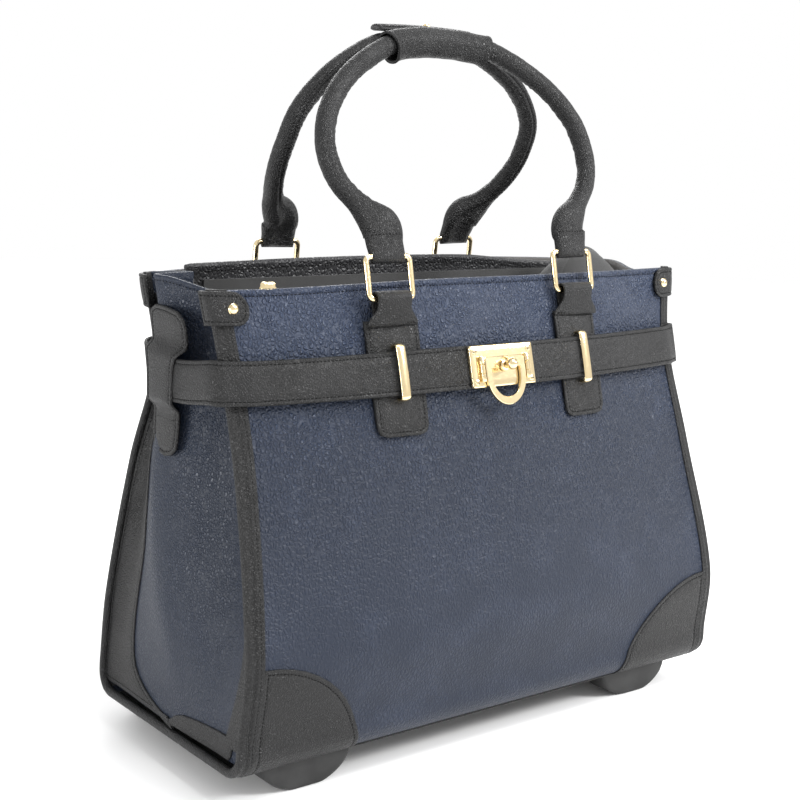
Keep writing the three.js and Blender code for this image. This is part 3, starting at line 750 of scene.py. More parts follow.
# ------------------------------------------------------------------ gussets
# The side's plan outline at one height, from the front seam to the rear seam: each knot is
# (share of the way back, inset from the side plane), and each changes with height.
VALLEY_AT = smooth([(46, 0.16), (150, 0.20), (230, 0.24), (300, 0.26), (331, 0.30)])
VALLEY_IN = smooth([(46, 5), (100, 10), (150, 16), (200, 21), (265, 24), (331, 15)])
CREST_AT = smooth([(46, 0.50), (100, 0.55), (150, 0.64), (200, 0.73), (265, 0.80), (331, 0.84)])
CREST_IN = smooth([(46, 3), (80, -3), (120, -6), (170, -5), (230, -3), (290, -1.0), (331, 1.0)])
FOLD_AT = smooth([(46, 0.85), (200, 0.88), (265, 0.91), (331, 0.93)])
FOLD_IN = smooth([(46, 5), (120, 6), (200, 9), (250, 16), (300, 27), (331, 32)])
GUSSET_LOW = 31.0
GUSSET_TUCK = 3.6  # how far its ends lie inside the walls' corners
STRIP_THICKNESS = 1.3
PATCH_FOOT = 31.6

_sections = {}  # the outlines already worked out, by height


def gusset_ends(z):
    inner = CORNER_RADIUS - 6.0
    drop = min(max(CORNER_HEIGHT - z, 0), inner)
    tuck = inner - math.sqrt(inner * inner - drop * drop)
    return front_corner(z) + GUSSET_TUCK + tuck, rear_corner(z) - GUSSET_TUCK - tuck


def gusset_section(z):
    """The side's outline at height z as points (inset, y) with their distances from the front."""
    key = round(z, 2)
    if key not in _sections:
        y0, y1 = gusset_ends(z)
        valley, crest, fold = VALLEY_AT(z), CREST_AT(z), FOLD_AT(z)
        knots = [(5.0, 0.0), (mix(5.0, VALLEY_IN(z), 0.8), valley * 0.5), (VALLEY_IN(z), valley),
                 (mix(VALLEY_IN(z), CREST_IN(z), 0.72), mix(valley, crest, 0.55)),
                 (CREST_IN(z), crest), (FOLD_IN(z), fold), (5.0, 1.0)]
        line = spline([Vector((a, mix(y0, y1, b), 0)) for a, b in knots], 8)
        lengths = [0.0]
        for a, b in zip(line, line[1:]):
            lengths.append(lengths[-1] + (b - a).length)
        _sections[key] = (line, lengths)
    return _sections[key]


def gusset_point(sign, distance, z, lift=0.0):
    """A point on the side, at a distance from the front seam along its outline."""
    line, lengths = gusset_section(z)
    goal = min(max(distance, 0.0), lengths[-1] - 1e-6)
    i = 0
    while lengths[i + 1] < goal:
        i += 1
    t = (goal - lengths[i]) / (lengths[i + 1] - lengths[i])
    spot = line[i].lerp(line[i + 1], t)
    run = (line[min(i + 2, len(line) - 1)] - line[max(i - 1, 0)]).normalized()
    soft = 0.6 * wave(0, spot.y, z, 42, 11.0 + sign) * step(z, 40, 70)
    out = lift + soft
    across = half_width(z) - spot.x + run.y * out
    return Vector((sign * across, spot.y + distance - goal + run.x * out, z))


def gusset_length(z):
    return gusset_section(z)[1][-1]


def gusset_top(share):
    """Height of the gusset's top edge: it rises from the front corner towards the rear."""
    return 327 + 5.0 * step(share, 0.05, 0.45)


def gusset_shell(side, sign):
    rows = 70
    columns = 90
    loops = []
    for i in range(columns + 1):
        share = i / columns
        top = gusset_top(share)
        loop = []
        face = []
        for j in range(rows):
            face.append((mix(GUSSET_LOW, top - 9, j / rows), 0.0))
        face += [(top - 6, 0.2), (top - 4.5, 0.1), (top - 3.8, -0.3), (top - 3.1, 0.2), (top - 2, 0.7),
                 (top - 0.9, 0.6), (top - 0.1, -0.2), (top, -PANEL / 2), (top - 0.4, -PANEL + 0.2),
                 (top - 5, -PANEL)]
        face += [(mix(top - 12, GUSSET_LOW, j / 16), -PANEL) for j in range(17)]
        for z, lift in face:
            loop.append(gusset_point(sign, share * gusset_length(z), z, lift))
        loops.append(loop)
    shell = loft(f"gusset_{side}_leather", loops, navy_side_shaded, warp=True)
    seam = [(0.03 + 0.94 * i / 50) for i in range(51)]
    path, above = [], []
    for share in seam:
        z = gusset_top(share) - 3.8
        path.append(gusset_point(sign, share * gusset_length(z), z, -0.2))
        above.append(gusset_point(sign, share * gusset_length(z), z, 0.8))
    sew_path(f"gusset_{side}_hem_stitches", path, above, thread, False, shell)
    line_inside(shell, Vector((-sign, 0, 0)))
    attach(shell, "bag")
    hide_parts(f"gusset_{side}")


def strip_between(name, left, right, skin, stitch, fill=5.0):
    """Black leather between two (s, t) edges that are given from bottom to top."""
    outline = list(right) + list(reversed(left))
    piece = applique(name, outline, skin, black, STRIP_THICKNESS, stitch, sew=thread, fill=fill)
    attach(piece, "bag")
    return piece


REAR_STRIP = smooth([(31, 104), (42, 66), (54, 48), (75, 43), (100, 44), (154, 47), (250, 30), (331, 26)])


def gusset_trim(side, sign):
    """Black leather over the side: a sewn rear strip, a front sliver and a low patch."""
    def from_rear(a, z, lift):
        return gusset_point(sign, gusset_length(z) - a, z, lift)

    def from_front(a, z, lift):
        return gusset_point(sign, a, z, lift)

    heights = [32, 35, 38, 41, 45, 50, 56, 64, 75, 90, 110, 140, 180, 220, 260, 295, 318]
    edge = [(REAR_STRIP(z), z) for z in heights]
    inner = [(0.5, z) for z in heights]
    strip_between(f"gusset_{side}_rear_strip", edge, inner, from_rear, 3.0)
    sliver_heights = [40, 60, 90, 120, 150, 160]
    sliver = smooth([(40, 20), (60, 18), (90, 16), (120, 13), (150, 8), (162, 4)])
    strip_between(
        f"gusset_{side}_front_sliver", [(0.2, z) for z in sliver_heights],
        [(sliver(z), z) for z in sliver_heights], from_front, None,
    )
    top_edge = [(12, 47), (30, 46.5), (55, 45), (72, 43), (82, 39.5), (88, 35)]
    low_edge = [(a, PATCH_FOOT) for a in (12, 30, 55, 72, 82)] + [(87, 32)]
    strip_between(f"gusset_{side}_low_patch", low_edge, top_edge, from_front, None, fill=4.0)


for side, sign in SIDES:
    gusset_shell(side, sign)
    gusset_trim(side, sign)


# ------------------------------------------------------------------ bindings
# Cross-section of the binding: (distance inwards from the side plane, lift above the wall).
TUBE = 3.2


def binding_profile():
    loop = []
    for i in range(15):
        angle = math.radians(70 + i * 250 / 14)
        loop.append((TUBE + 0.1 + TUBE * math.cos(angle), -TUBE + 0.3 + TUBE * math.sin(angle)))
    loop += [(TUBE + 3.4, -1.2), (12.2, -0.3), (12.4, 0.55), (12.0, 1.0), (11.2, 1.15), (9.6, 0.75),
             (8.0, 1.1), (7.2, 0.9), (6.4, 0.1)]
    return loop


def binding_point(wall, sign, a, s, lift):
    z = max(s, FLOOR_CLEARANCE)
    return wall_skin(wall, sign * (half_width(z) - a), s, lift)


def bottom_pucker(sign, place):
    return 0.35 * math.sin(place * 1.1) * noise.noise(Vector((place / 9, sign * 3.0, 0)))


def binding(side, sign):
    profile = binding_profile()
    underside = rear_corner(CORNER_HEIGHT) - front_corner(CORNER_HEIGHT) - 2 * CORNER_RADIUS
    loops = []
    path, above = [], []
    for wall, order in ((FRONT, 1), (REAR, -1)):
        stations = [TOP + 0.5 - i * (TOP - CORNER_HEIGHT) / 90 for i in range(91)]
        stations += [CORNER_HEIGHT - QUARTER_TURN * i / 14 for i in range(1, 15)]
        stations += [UNDER - underside / 2 * i / 20 for i in range(1, 20 + (order == 1))]
        for s in stations[::order]:
            swell = bottom_pucker(sign, s) if s < CORNER_HEIGHT else 0
            loops.append([binding_point(wall, sign, a, s, b + swell) for a, b in profile])
        for s in resample([Vector((v, 0, 0)) for v in stations], 2.0)[::order]:
            path.append(binding_point(wall, sign, 9.6, s.x, 0.65))
            above.append(binding_point(wall, sign, 9.6, s.x, 1.65))
    piece = loft(f"binding_{side}_rolled", loops, black, warp=True)
    sew_path(f"binding_{side}_stitches", path, above, thread, False, piece)
    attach(piece, "bag")
    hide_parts(f"binding_{side}")


for side, sign in SIDES:
    binding(side, sign)


# ------------------------------------------------------------------ corner patches
def corner_patch(name, wall, sign):
    """A quarter-round piece of black leather over a lower corner of the wall."""
    near, radius, foot_s = 4.0, 84.0, UNDER + 1
    outline = [(sign * near, foot_s), (sign * (near + radius), foot_s)]
    for i in range(1, 12):
        angle = math.radians(90 * i / 12)
        outline.append((sign * (near + radius * math.cos(angle)), foot_s + radius * math.sin(angle)))
    outline.append((sign * near, foot_s + radius))

    def skin(a, s, lift):
        inward = abs(a) + 7.5
        x = sign * (half_width(max(s, FLOOR_CLEARANCE)) - inward)
        return wall_skin(wall, x, s, lift)

    patch = applique(name, outline, skin, black, 1.0, 3.2, sew=thread, fill=5.0, crown=0.2)
    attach(patch, "bag")


for side, sign in SIDES:
    corner_patch(f"front_corner_patch_{side}", FRONT, sign)
    corner_patch(f"rear_corner_patch_{side}", REAR, sign)

# ------------------------------------------------------------------ ribbons
def strap_section(half, thickness, groove, crown):
    """Closed outline of a strap: (across, outwards), with a sewn groove near both edges."""
    t = thickness / 2
    side = [(half, 0.0), (half - 0.12 * thickness, 0.7 * t), (half - 0.5 * thickness, t)]
    if groove and half > 2 * groove:
        side += [(half - groove + 0.8, t), (half - groove, t - 0.45), (half - groove - 0.8, t + 0.05)]
    side.append((half * 0.45, t + 0.8 * crown))
    front = [(-a, o) for a, o in side] + [(0.0, t + crown)] + list(reversed(side))
    back = [(half - 0.12 * thickness, -0.7 * t), (half - 0.5 * thickness, -t), (0.0, -t)]
    return front + back + [(-a, o) for a, o in reversed(back[:2])]


def ribbon(name, stations, material, thickness, closed=False, groove=3.0, crown=0.0, warp=False):
    """A strap along stations of (centre, across, outwards, half width)."""
    loops = []
    for centre, across, out, half in stations:
        loop = [centre + across * a + out * o for a, o in strap_section(half, thickness, groove, crown)]
        loops.append(loop)
    return loft(name, loops, material, closed, warp=warp)


def sew_ribbon(name, stations, offset, lift, parent, closed, warp):
    """Stitches along a ribbon, at a distance in from one edge (below 0: from the other)."""
    path, above = [], []
    for centre, across, out, half in stations:
        a = math.copysign(half - abs(offset), offset)
        path.append(centre + across * a + out * lift)
        above.append(centre + across * a + out * (lift + 1))
    sew_path(name, path, above, thread, closed, parent, warp)


# ------------------------------------------------------------------ belt
def even_skin(wall, x, z, lift):
    """The wall without its dents, for what is stretched over it."""
    t = min(max(x / half_width(z), -1), 1)
    return Vector((x, wall.corner(z) + wall.outward * (wall.swell(z) * (1 - t * t) + lift), z))


SIDE_DROP = 6.0
SIDE_LIFT = BELT_LIFT + 1.2
FRONT_BELT_LEAN = 0.27
REAR_BELT_LEAN = -0.21


def belt_side(side, sign):
    """The belt's line along one side of the bag, where it hangs a little lower."""
    line = []
    for x, y, lean in side:
        drop = SIDE_DROP * step(y, 48, 92) * (1 - step(y, 122, 146))
        line.append((Vector((sign * x, y, BELT_HEIGHT - drop)), lean))
    return line


def belt_stations():
    """Centre line and lean of the belt, once round the bag from the front's left corner."""
    half = half_width(BELT_HEIGHT) + SIDE_LIFT
    line = []
    for x in range(-190, 191, 19):
        line.append((even_skin(FRONT, x, BELT_HEIGHT, SIDE_LIFT), FRONT_BELT_LEAN))
    side = [(200, 38.6, 0.24), (207.5, 42.5, 0.18), (half, 50, 0.08), (half + 0.6, 70, 0.0),
            (half + 0.8, 100, 0.0), (half, 128, -0.04), (206, 139.5, -0.15), (196, 147.5, -0.2)]
    line += belt_side(side, 1)
    for x in range(180, -181, -20):
        line.append((even_skin(REAR, x, BELT_HEIGHT, SIDE_LIFT), REAR_BELT_LEAN))
    line += belt_side(reversed(side), -1)
    line.append(line[0])
    curve = spline([Vector((*p, lean)) for p, lean in line], 9)[:-1]
    stations = []
    count = len(curve)
    for i, p in enumerate(curve):
        run = Vector((curve[(i + 1) % count] - curve[i - 1])[:3]).normalized()
        flat = Vector((run.y, -run.x, 0)).normalized()
        up = (Vector((0, 0, 1)) - flat * p[3]).normalized()
        out = run.cross(up).normalized()
        stations.append((Vector(p[:3]), up, out, BELT_WIDTH / 2))
    return stations


def belt():
    stations = belt_stations()
    piece = ribbon("belt_strap", stations, black, BELT_THICKNESS, closed=True, crown=0.25, warp=True)
    lift = BELT_THICKNESS / 2 - 0.25
    for name, offset in (("top", 3.0), ("low", -3.0)):
        sew_ribbon(f"belt_stitches_{name}", stations, offset, lift, piece, True, True)
    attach(piece, "bag")
    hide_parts("belt_front", "belt_wrap")


belt()


def belt_loop(side, sign):
    """Leather keeper on the gusset: sewn at both ends, bowed out over the belt."""
    middle = BELT_HEIGHT - SIDE_DROP

    def skin(y, z, lift):
        over = 1 - step(abs(z - middle) - BELT_WIDTH / 2, 0.5, 9)
        out = mix(1.4, BELT_LIFT + BELT_THICKNESS + 0.5, over) + lift
        return Vector((sign * (half_width(z) + out), y, z))

    outline = [(97, 218), (103, 213), (112, 211), (121, 213), (127, 218), (128.5, 228), (128.5, 262),
               (129.5, 290), (129.5, 303), (127, 309), (120, 312.5), (106, 313), (92, 312.5),
               (85.5, 309), (83, 303), (83, 292), (85, 287), (91, 280), (93.5, 274), (95, 255), (95.5, 228)]
    piece = applique(f"belt_loop_{side}_leather", outline, skin, black, 2.0, 3.0, sew=thread,
                     fill=4.0, base=0.0)
    for name, z, y0, y1 in (("bar", 289.5, 87, 126), ("block", 237, 99, 125)):
        line = [(y, z) for y in range(y0, y1, 3)]
        sew_line(f"belt_loop_{side}_{name}_stitches", line, skin, 2.1, thread, False, piece)
    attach(piece, "bag")
    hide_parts(f"belt_loop_{side}")


for side, sign in SIDES:
    belt_loop(side, sign)


# ------------------------------------------------------------------ corner tabs
def rivet(name, place, axis, radius, body):
    """Dome rivet on a flat rim."""
    profile = [(-0.8, radius * 1.12), (0.0, radius * 1.15), (0.35, radius * 1.1), (0.45, radius * 0.98)]
    for i in range(7):
        angle = math.radians(10 + 80 * i / 6)
        profile.append((0.3 + radius * 0.62 * math.sin(angle), radius * math.cos(angle)))
    profile[-1] = (profile[-1][0], 0.01)
    obj = lathe(name, profile, place, axis, gold, 24)
    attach(obj, body)


def corner_tab(name, wall, sign, node):
    """A D-shaped tab folded round the top of a binding and held by a dome rivet."""
    radius = 4.5
    quarter = radius * math.pi / 2

    def skin(a, z, lift):
        edge = half_width(z) + 0.9
        reach = radius + lift
        if a > quarter / 2:
            x = edge - radius - (a - quarter / 2)
            return even_skin(wall, sign * x, z, 1.6 + lift)
        front = wall.corner(z) - wall.outward * (radius - 1.6)
        if a < -quarter / 2:
            along = -quarter / 2 - a
            return Vector((sign * (edge + lift), front - wall.outward * along, z))
        angle = (a + quarter / 2) / radius
        x = edge - radius + reach * math.cos(angle)
        return Vector((sign * x, front + wall.outward * reach * math.sin(angle), z))

    low, high, middle, end = 309.0, 330.5, 319.5, 14.5
    outline = [(-9, low - 1), (-9, high), (0, high + 0.3)]
    for i in range(9):
        angle = math.radians(90 - 180 * i / 8)
        outline.append((end + 9.5 * math.cos(angle), middle + 11.0 * math.sin(angle)))
    outline.append((0, low))
    tab = applique(name, outline, skin, black, 2.0, 2.8, sew=thread, fill=3.0, base=-0.6)
    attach(tab, "bag")
    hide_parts(node)
    place = settle(skin(end - 1.5, middle, 1.9))
    out = (skin(end - 1.5, middle, 3) - skin(end - 1.5, middle, 2)).normalized()
    rivet(name + "_rivet", place, out, 3.4, "bag")


for side, sign in SIDES:
    corner_tab(f"front_corner_tab_{side}_leather", FRONT, sign, f"front_corner_tab_{side}")
    corner_tab(f"rear_corner_tab_{side}_leather", REAR, sign, f"rear_corner_tab_{side}")


# ------------------------------------------------------------------ handle tabs
def handle_tab(name, wall, ring_y, sign, node):
    """Blade sewn on the wall below, and a strap that runs up and round the ring's lower bar."""
    middle = sign * TAB_X

    def skin(a, z, lift):
        return even_skin(wall, middle + a, z, lift + 0.9)

    shoulder = 305.0
    half = TAB_WIDTH / 2 - 1
    outline = [(-half + 8, TAB_FOOT), (-half + 3, TAB_FOOT + 1.5), (-half + 0.8, TAB_FOOT + 6),
               (-half + 0.6, TAB_FOOT + 12), (-half, shoulder), (half, shoulder),
               (half - 0.6, TAB_FOOT + 12), (half - 0.8, TAB_FOOT + 6), (half - 3, TAB_FOOT + 1.5),
               (half - 8, TAB_FOOT)]
    blade = applique(name, outline, skin, black, 1.9, 3.0, sew=thread, fill=4.0, crown=0.5, warp=False)
    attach(blade, "bag")
    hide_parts(node)
    out = wall.outward
    foot = even_skin(wall, middle, shoulder - 3, 3.4)
    bar = Vector((middle, ring_y, RING_LOW))
    points = [foot, foot.lerp(bar, 0.5) + Vector((0, out * 2.2, 0)), bar + Vector((0, out * 3.9, -2))]
    points += [bar + Vector((0, out * 4.1 * math.cos(a), 4.1 * math.sin(a))) for a in
               (math.radians(d) for d in (15, 45, 75, 105, 135, 165))]
    points += [bar + Vector((0, -out * 3.4, -4)), bar + Vector((0, -out * 1.2, -11))]
    path = spline(points, 5)
    stations = []
    for i, p in enumerate(path):
        run = (path[min(i + 1, len(path) - 1)] - path[max(i - 1, 0)]).normalized()
        normal = Vector((0, run.z, -run.y)) * out
        narrow = step(p.z, shoulder - 2, RING_LOW - 5)
        if i > len(path) * 0.55:
            narrow = 1
        stations.append((p, Vector((1, 0, 0)), normal, mix(half, TAB_NECK / 2, narrow)))
    strap = ribbon(name + "_loop", stations, black, 1.9, groove=0, crown=0.2)
    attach(strap, "bag")
    line = [(a, shoulder - 1.2) for a in np.linspace(-half + 2.5, half - 2.5, 15)]
    sew_line(name + "_bar_stitches", line, lambda a, z, lift: skin(a, z, lift + 3.35), 0.0, thread,
             False, blade, False)


for side, sign in SIDES:
    handle_tab(f"front_handle_tab_{side}_leather", FRONT, FRONT_RING_Y, sign, f"front_handle_tab_{side}")
    handle_tab(f"rear_handle_tab_{side}_leather", REAR, REAR_RING_Y, sign, f"rear_handle_tab_{side}")


# ------------------------------------------------------------------ rings and keepers
def high_bar(ring_y, lean):
    return Vector((0, ring_y + lean, RING_LOW + math.sqrt(RING_PITCH**2 - lean**2)))


def ring(name, ring_y, lean, sign, body, node):
    """Rectangular ring of half-round gold wire with soft corners."""
    low = Vector((sign * TAB_X, ring_y, RING_LOW))
    up = (high_bar(ring_y, lean) - Vector((0, ring_y, RING_LOW))) / RING_PITCH
    across = Vector((1, 0, 0))
    out = across.cross(up)
    w, h, r = 18.0, RING_PITCH / 2, 3.6
    path = []
    corners = ((w - r, h - r, 0), (-w + r, h - r, 90), (-w + r, -h + r, 180), (w - r, -h + r, 270))
    for cx, cz, start in corners:
        for i in range(7):
            angle = math.radians(start + 15 * i)
            path.append((cx + r * math.cos(angle), cz + r * math.sin(angle)))
    loops = []
    count = len(path)
    for i, (a, b) in enumerate(path):
        before, after = path[i - 1], path[(i + 1) % count]
        run = Vector((after[0] - before[0], after[1] - before[1])).normalized()
        outward = across * run.y - up * run.x
        centre = low + up * (b + h) + across * a
        loop = []
        for j in range(14):
            angle = 2 * math.pi * j / 14
            c, s = math.cos(angle), math.sin(angle)
            wide = math.copysign(abs(c) ** 0.75, c) * 2.0
            deep = math.copysign(abs(s) ** 0.85, s) * 1.7
            loop.append(centre + outward * wide + out * deep)
        loops.append(loop)
    obj = loft(name, loops, gold, closed=True)
    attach(obj, body)
    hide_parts(node)


for side, sign in SIDES:
    ring(f"front_ring_{side}_gold", FRONT_RING_Y, FRONT_LEAN, sign, "front_rings", f"front_ring_{side}")
    ring(f"rear_ring_{side}_gold", REAR_RING_Y, REAR_LEAN, sign, "rear_rings", f"rear_ring_{side}")


TILT_UP = Vector((0, math.sin(BELT_TILT), math.cos(BELT_TILT)))
TILT_OUT = Vector((0, -math.cos(BELT_TILT), math.sin(BELT_TILT)))


def keeper(side, sign):
    """Gold band that grips the belt over each handle tab."""
    middle = even_skin(FRONT, sign * TAB_X, BELT_HEIGHT, SIDE_LIFT)
    outline = [(-4.2, 17.0), (-1.5, 17.9), (1.0, 18.1), (2.6, 17.3), (3.2, 15.6), (3.5, 9), (3.6, 0),
               (3.5, -9), (3.2, -15.6), (2.6, -17.3), (1.0, -18.1), (-1.5, -17.9), (-4.2, -17.0)]
    path = spline([Vector((o, u, 0)) for o, u in outline], 4)
    stations = []
    for i, p in enumerate(path):
        run = (path[min(i + 1, len(path) - 1)] - path[max(i - 1, 0)]).normalized()
        normal = TILT_OUT * -run.y + TILT_UP * run.x
        stations.append((middle + TILT_OUT * p.x + TILT_UP * p.y, Vector((1, 0, 0)), normal, 3.7))
    obj = ribbon(f"belt_keeper_{side}_gold", stations, gold, 1.7, groove=0, crown=0.5)
    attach(obj, "bag")
    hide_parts(f"belt_keeper_{side}")


for side, sign in SIDES:
    keeper(side, sign)


# ------------------------------------------------------------------ turn lock
LOCK_AT = even_skin(FRONT, 0, BELT_HEIGHT, BELT_LIFT + BELT_THICKNESS)
PLATE_THICK = 2.5
HASP_BACK = PLATE_THICK + 0.6
KNOB_Z = -0.5
SCREW_X = 24.6
SCREW_Z = 10.6
BARREL_X = 20.4


def lock_point(x, z, out):
    """A point in the lock's own frame: x across, z up the plate, out from the belt."""
    return LOCK_AT + Vector((x, 0, 0)) + TILT_UP * z + TILT_OUT * out


def rounded_rectangle(width, height, radius, steps=5):
    outline = []
    w, h = width / 2 - radius, height / 2 - radius
    for cx, cz, start in ((w, h, 0), (-w, h, 90), (-w, -h, 180), (w, -h, 270)):
        for i in range(steps + 1):
            angle = math.radians(start + 90 * i / steps)
            outline.append((cx + radius * math.cos(angle), cz + radius * math.sin(angle)))
    return outline


def metal_band(name, outer, inner, back, thick, bevel, place):
    """A flat ring between two outlines of equally many points, with bevelled edges."""
    loops = []
    for o, i in zip(outer, inner):
        o, i = Vector(o), Vector(i)
        run = (i - o).normalized() * bevel
        section = [(o, back), (o, back + thick - bevel), (o + run, back + thick),
                   (i - run, back + thick), (i, back + thick - bevel), (i, back)]
        loops.append([place(p.x, p.y, out) for p, out in section])
    return loft(name, loops, gold, closed=True, sharp=35)


def ray_hit(outline, centre, angle):
    """Where a ray from the centre meets a closed outline."""
    way = Vector((math.cos(angle), math.sin(angle)))
    best = None
    for a, b in zip(outline, outline[1:] + outline[:1]):
        a, b = Vector(a) - centre, Vector(b) - centre
        edge = b - a
        across = way.x * edge.y - way.y * edge.x
        if abs(across) < 1e-9:
            continue
        far = (a.x * edge.y - a.y * edge.x) / across
        t = (a.x * way.y - a.y * way.x) / across
        if far > 0 and -1e-6 <= t <= 1 + 1e-6 and (best is None or far < best):
            best = far
    return centre + way * best


def lock_screw(i, x, z):
    """Screw with a slotted head, each turned its own way."""
    place = lock_point(x, z, PLATE_THICK - 0.1)
    screw = lathe(f"lock_screw_{i}", [(-0.5, 2.3), (0.25, 2.3), (0.55, 2.05), (0.7, 1.5), (0.75, 0.01)],
                  place, TILT_OUT, gold, 20, 40)
    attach(screw, "bag")
    turn = math.radians(20 + 47 * i)
    way = Vector((math.cos(turn), 0, 0)) + TILT_UP * math.sin(turn)
    side_way = TILT_OUT.cross(way)
    slot_loops = []
    for t in (-1.9, 1.9):
        middle = place + way * t + TILT_OUT * 0.62
        slot_loops.append([middle + side_way * a + TILT_OUT * b for a, b in
                           ((-0.26, -0.3), (0.26, -0.3), (0.26, 0.17), (-0.26, 0.17))])
    slot_bar = loft(f"lock_screw_slot_{i}", slot_loops, plastic_dark, sharp=30)
    slot_bar.parent = screw
    slot_bar.matrix_parent_inverse = Matrix.Identity(4)


def lock_barrel(side, sign):
    """Turned guide post beside the knob, with two grooves."""
    half_post = [(2.8, 1.9), (3.1, 1.55), (3.4, 1.9), (8.2, 1.9), (8.8, 1.5), (9, 0.6)]
    profile = [(-a, r) for a, r in reversed(half_post)] + half_post
    place = lock_point(sign * BARREL_X, -2, 4.2)
    barrel = lathe(f"lock_barrel_{side}", profile, place, TILT_UP, gold, 20, 40)
    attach(barrel, "bag")


def lock_plate():
    outline = rounded_rectangle(58, 29.5, 1.6)
    plate = applique("lock_plate_gold", outline, lock_point, gold, PLATE_THICK, None, base=0.15,
                     fill=4.0, crown=0.0, warp=False, spacing=1.0)
    plate.data.set_sharp_from_angle(angle=math.radians(40))
    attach(plate, "bag")
    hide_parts("lock_plate")
    for i, (across, up) in enumerate(((-1, 1), (1, 1), (-1, -1), (1, -1))):
        lock_screw(i, across * SCREW_X, up * SCREW_Z)
    for side, sign in SIDES:
        lock_barrel(side, sign)


def hasp():
    """D-shaped hasp with a bar that is notched round the knob."""
    radius, band, top, eye_top, bow_top = 18.0, 5.0, 6.0, -2.0, -6.0
    inner = radius - band
    notch = 5.8
    outer_line = [(radius, bow_top), (radius, top - 1.5), (radius - 1.5, top), (-radius + 1.5, top),
                  (-radius, top - 1.5), (-radius, bow_top)]
    outer_line += [(-radius * math.cos(a), bow_top - (radius + 4) * math.sin(a)) for a in
                   (math.radians(d) for d in range(5, 180, 5))]
    notch_start = math.asin((eye_top - KNOB_Z) / notch)
    inner_line = [(inner, bow_top - 2), (inner, eye_top)]
    for i in range(13):
        angle = mix(notch_start, math.pi - notch_start, i / 12)
        inner_line.append((notch * math.cos(angle), KNOB_Z + notch * math.sin(angle)))
    inner_line += [(-inner, eye_top), (-inner, bow_top - 2)]
    inner_line += [(-inner * math.cos(a), bow_top - 2 - (inner + 1.5) * math.sin(a)) for a in
                   (math.radians(d) for d in range(5, 180, 5))]
    centre = Vector((0, -8.0))
    angles = [math.radians(2.5 * i + 1.1) for i in range(144)]
    outer = [ray_hit(outer_line, centre, a) for a in angles]
    eye = [ray_hit(inner_line, centre, a) for a in angles]
    obj = metal_band("lock_hasp_gold", outer, eye, HASP_BACK, 2.2, 0.45, lock_point)
    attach(obj, "lock_hasp")
    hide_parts("lock_hasp")


def knob():
    profile = [(HASP_BACK, 0.01), (HASP_BACK, 3.9), (HASP_BACK + 0.3, 4.15), (HASP_BACK + 1.8, 4.15),
               (HASP_BACK + 2.3, 3.8), (HASP_BACK + 2.8, 2.5), (HASP_BACK + 4.6, 2.3)]
    for i in range(15):
        angle = math.radians(-56 + 146 * i / 14)
        profile.append((HASP_BACK + 8.6 + 4.1 * math.sin(angle), max(4.1 * math.cos(angle), 0.01)))
    obj = lathe("lock_knob_gold", profile, lock_point(0, KNOB_Z, 0), TILT_OUT, gold, 36, 50)
    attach(obj, "lock_knob")
    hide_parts("lock_knob")


lock_plate()
hasp()
knob()

# ------------------------------------------------------------------ carry handles
FRONT_ROUTE = [(86, 43, 366), (97, 48, 378), (113, 55, 396), (118, 63, 418), (110, 71, 443),
               (87, 80, 467), (50, 89, 487), (24, 92, 492)]
REAR_ROUTE = [(87, 164, 366), (98, 156, 378), (108, 138, 398), (110, 123, 420), (105, 113, 443),
              (83, 108, 468), (48, 109, 488), (24, 109, 492)]
KNUCKLE = 4.5
FLAT_HALF = 13.6
SEAM_FROM = 384
SEAM_SPREAD = 25


def handle_line(route, grip_y, ring_y, lean):
    """Centre line of a carry handle, from its right ring over the top to its left ring."""
    bar = high_bar(ring_y, lean)
    right = [Vector((TAB_X, bar.y, bar.z - KNUCKLE)), Vector((TAB_X, bar.y, bar.z)),
             Vector((TAB_X + 0.8, mix(bar.y, route[0][1], 0.4), bar.z + 8))]
    right += [Vector(p) for p in route]
    left = [Vector((-p.x, p.y, p.z)) for p in reversed(right)]
    return resample(spline(right + [Vector((0, grip_y, GRIP_HEIGHT))] + left, 10), 1.4)


def handle_frame(line, i, wall):
    """Two directions across the handle: out of its arch, and away from the bag's middle."""
    run = (line[min(i + 1, len(line) - 1)] - line[max(i - 1, 0)]).normalized()
    across = run.cross(Vector((0, wall.outward, 0))).normalized() * -wall.outward
    return across, across.cross(run).normalized() * -wall.outward


def handle_size(p, bar_z):
    """Half width, half depth and flatness of the handle at a point of its line."""
    flat = 1 - step(p.z, 357, 387)
    thin = 1 - step(p.z, 353, 380)
    below = max(bar_z - p.z, 0)
    turn = math.sqrt(max(1 - (below / (KNUCKLE + 0.1)) ** 2, 0.01))
    cuff = hump(p.z, 367, 9)
    wide = mix(HANDLE_RADIUS, FLAT_HALF, flat) + 2.4 * cuff
    return wide, (mix(HANDLE_RADIUS, KNUCKLE, thin) + 1.2 * cuff) * turn, flat


def handle_surface(line, i, wall, bar_z, angle):
    """A point on the handle's skin. At an angle of -90 degrees it faces the bag's middle."""
    p = line[i]
    across, out = handle_frame(line, i, wall)
    wide, deep, flat = handle_size(p, bar_z)
    c, s = math.cos(angle), math.sin(angle)
    power = mix(1.0, 0.62, flat)
    a = math.copysign(abs(c) ** power, c) * wide
    o = math.copysign(abs(s) ** power, s) * deep
    if s < 0:
        o += hump(a, 0, mix(0.8, 6.0, flat)) * mix(1.0, 1.3, flat)
        o -= hump(abs(a), mix(1.9, 9.0, flat), mix(0.8, 2.0, flat)) * 0.35
    inner = 0.35 + 0.65 * step(-c, -0.3, 0.9)
    crease = noise.noise(Vector((i * 0.55, a * 0.16, o * 0.16 + wall.seed))) * 0.6 * inner * (1 - flat)
    swell = 1 + (crease + 0.18 * noise.noise(Vector((i * 0.09, a * 0.1, wall.seed)))) / wide
    return p + across * a * swell + out * o * swell


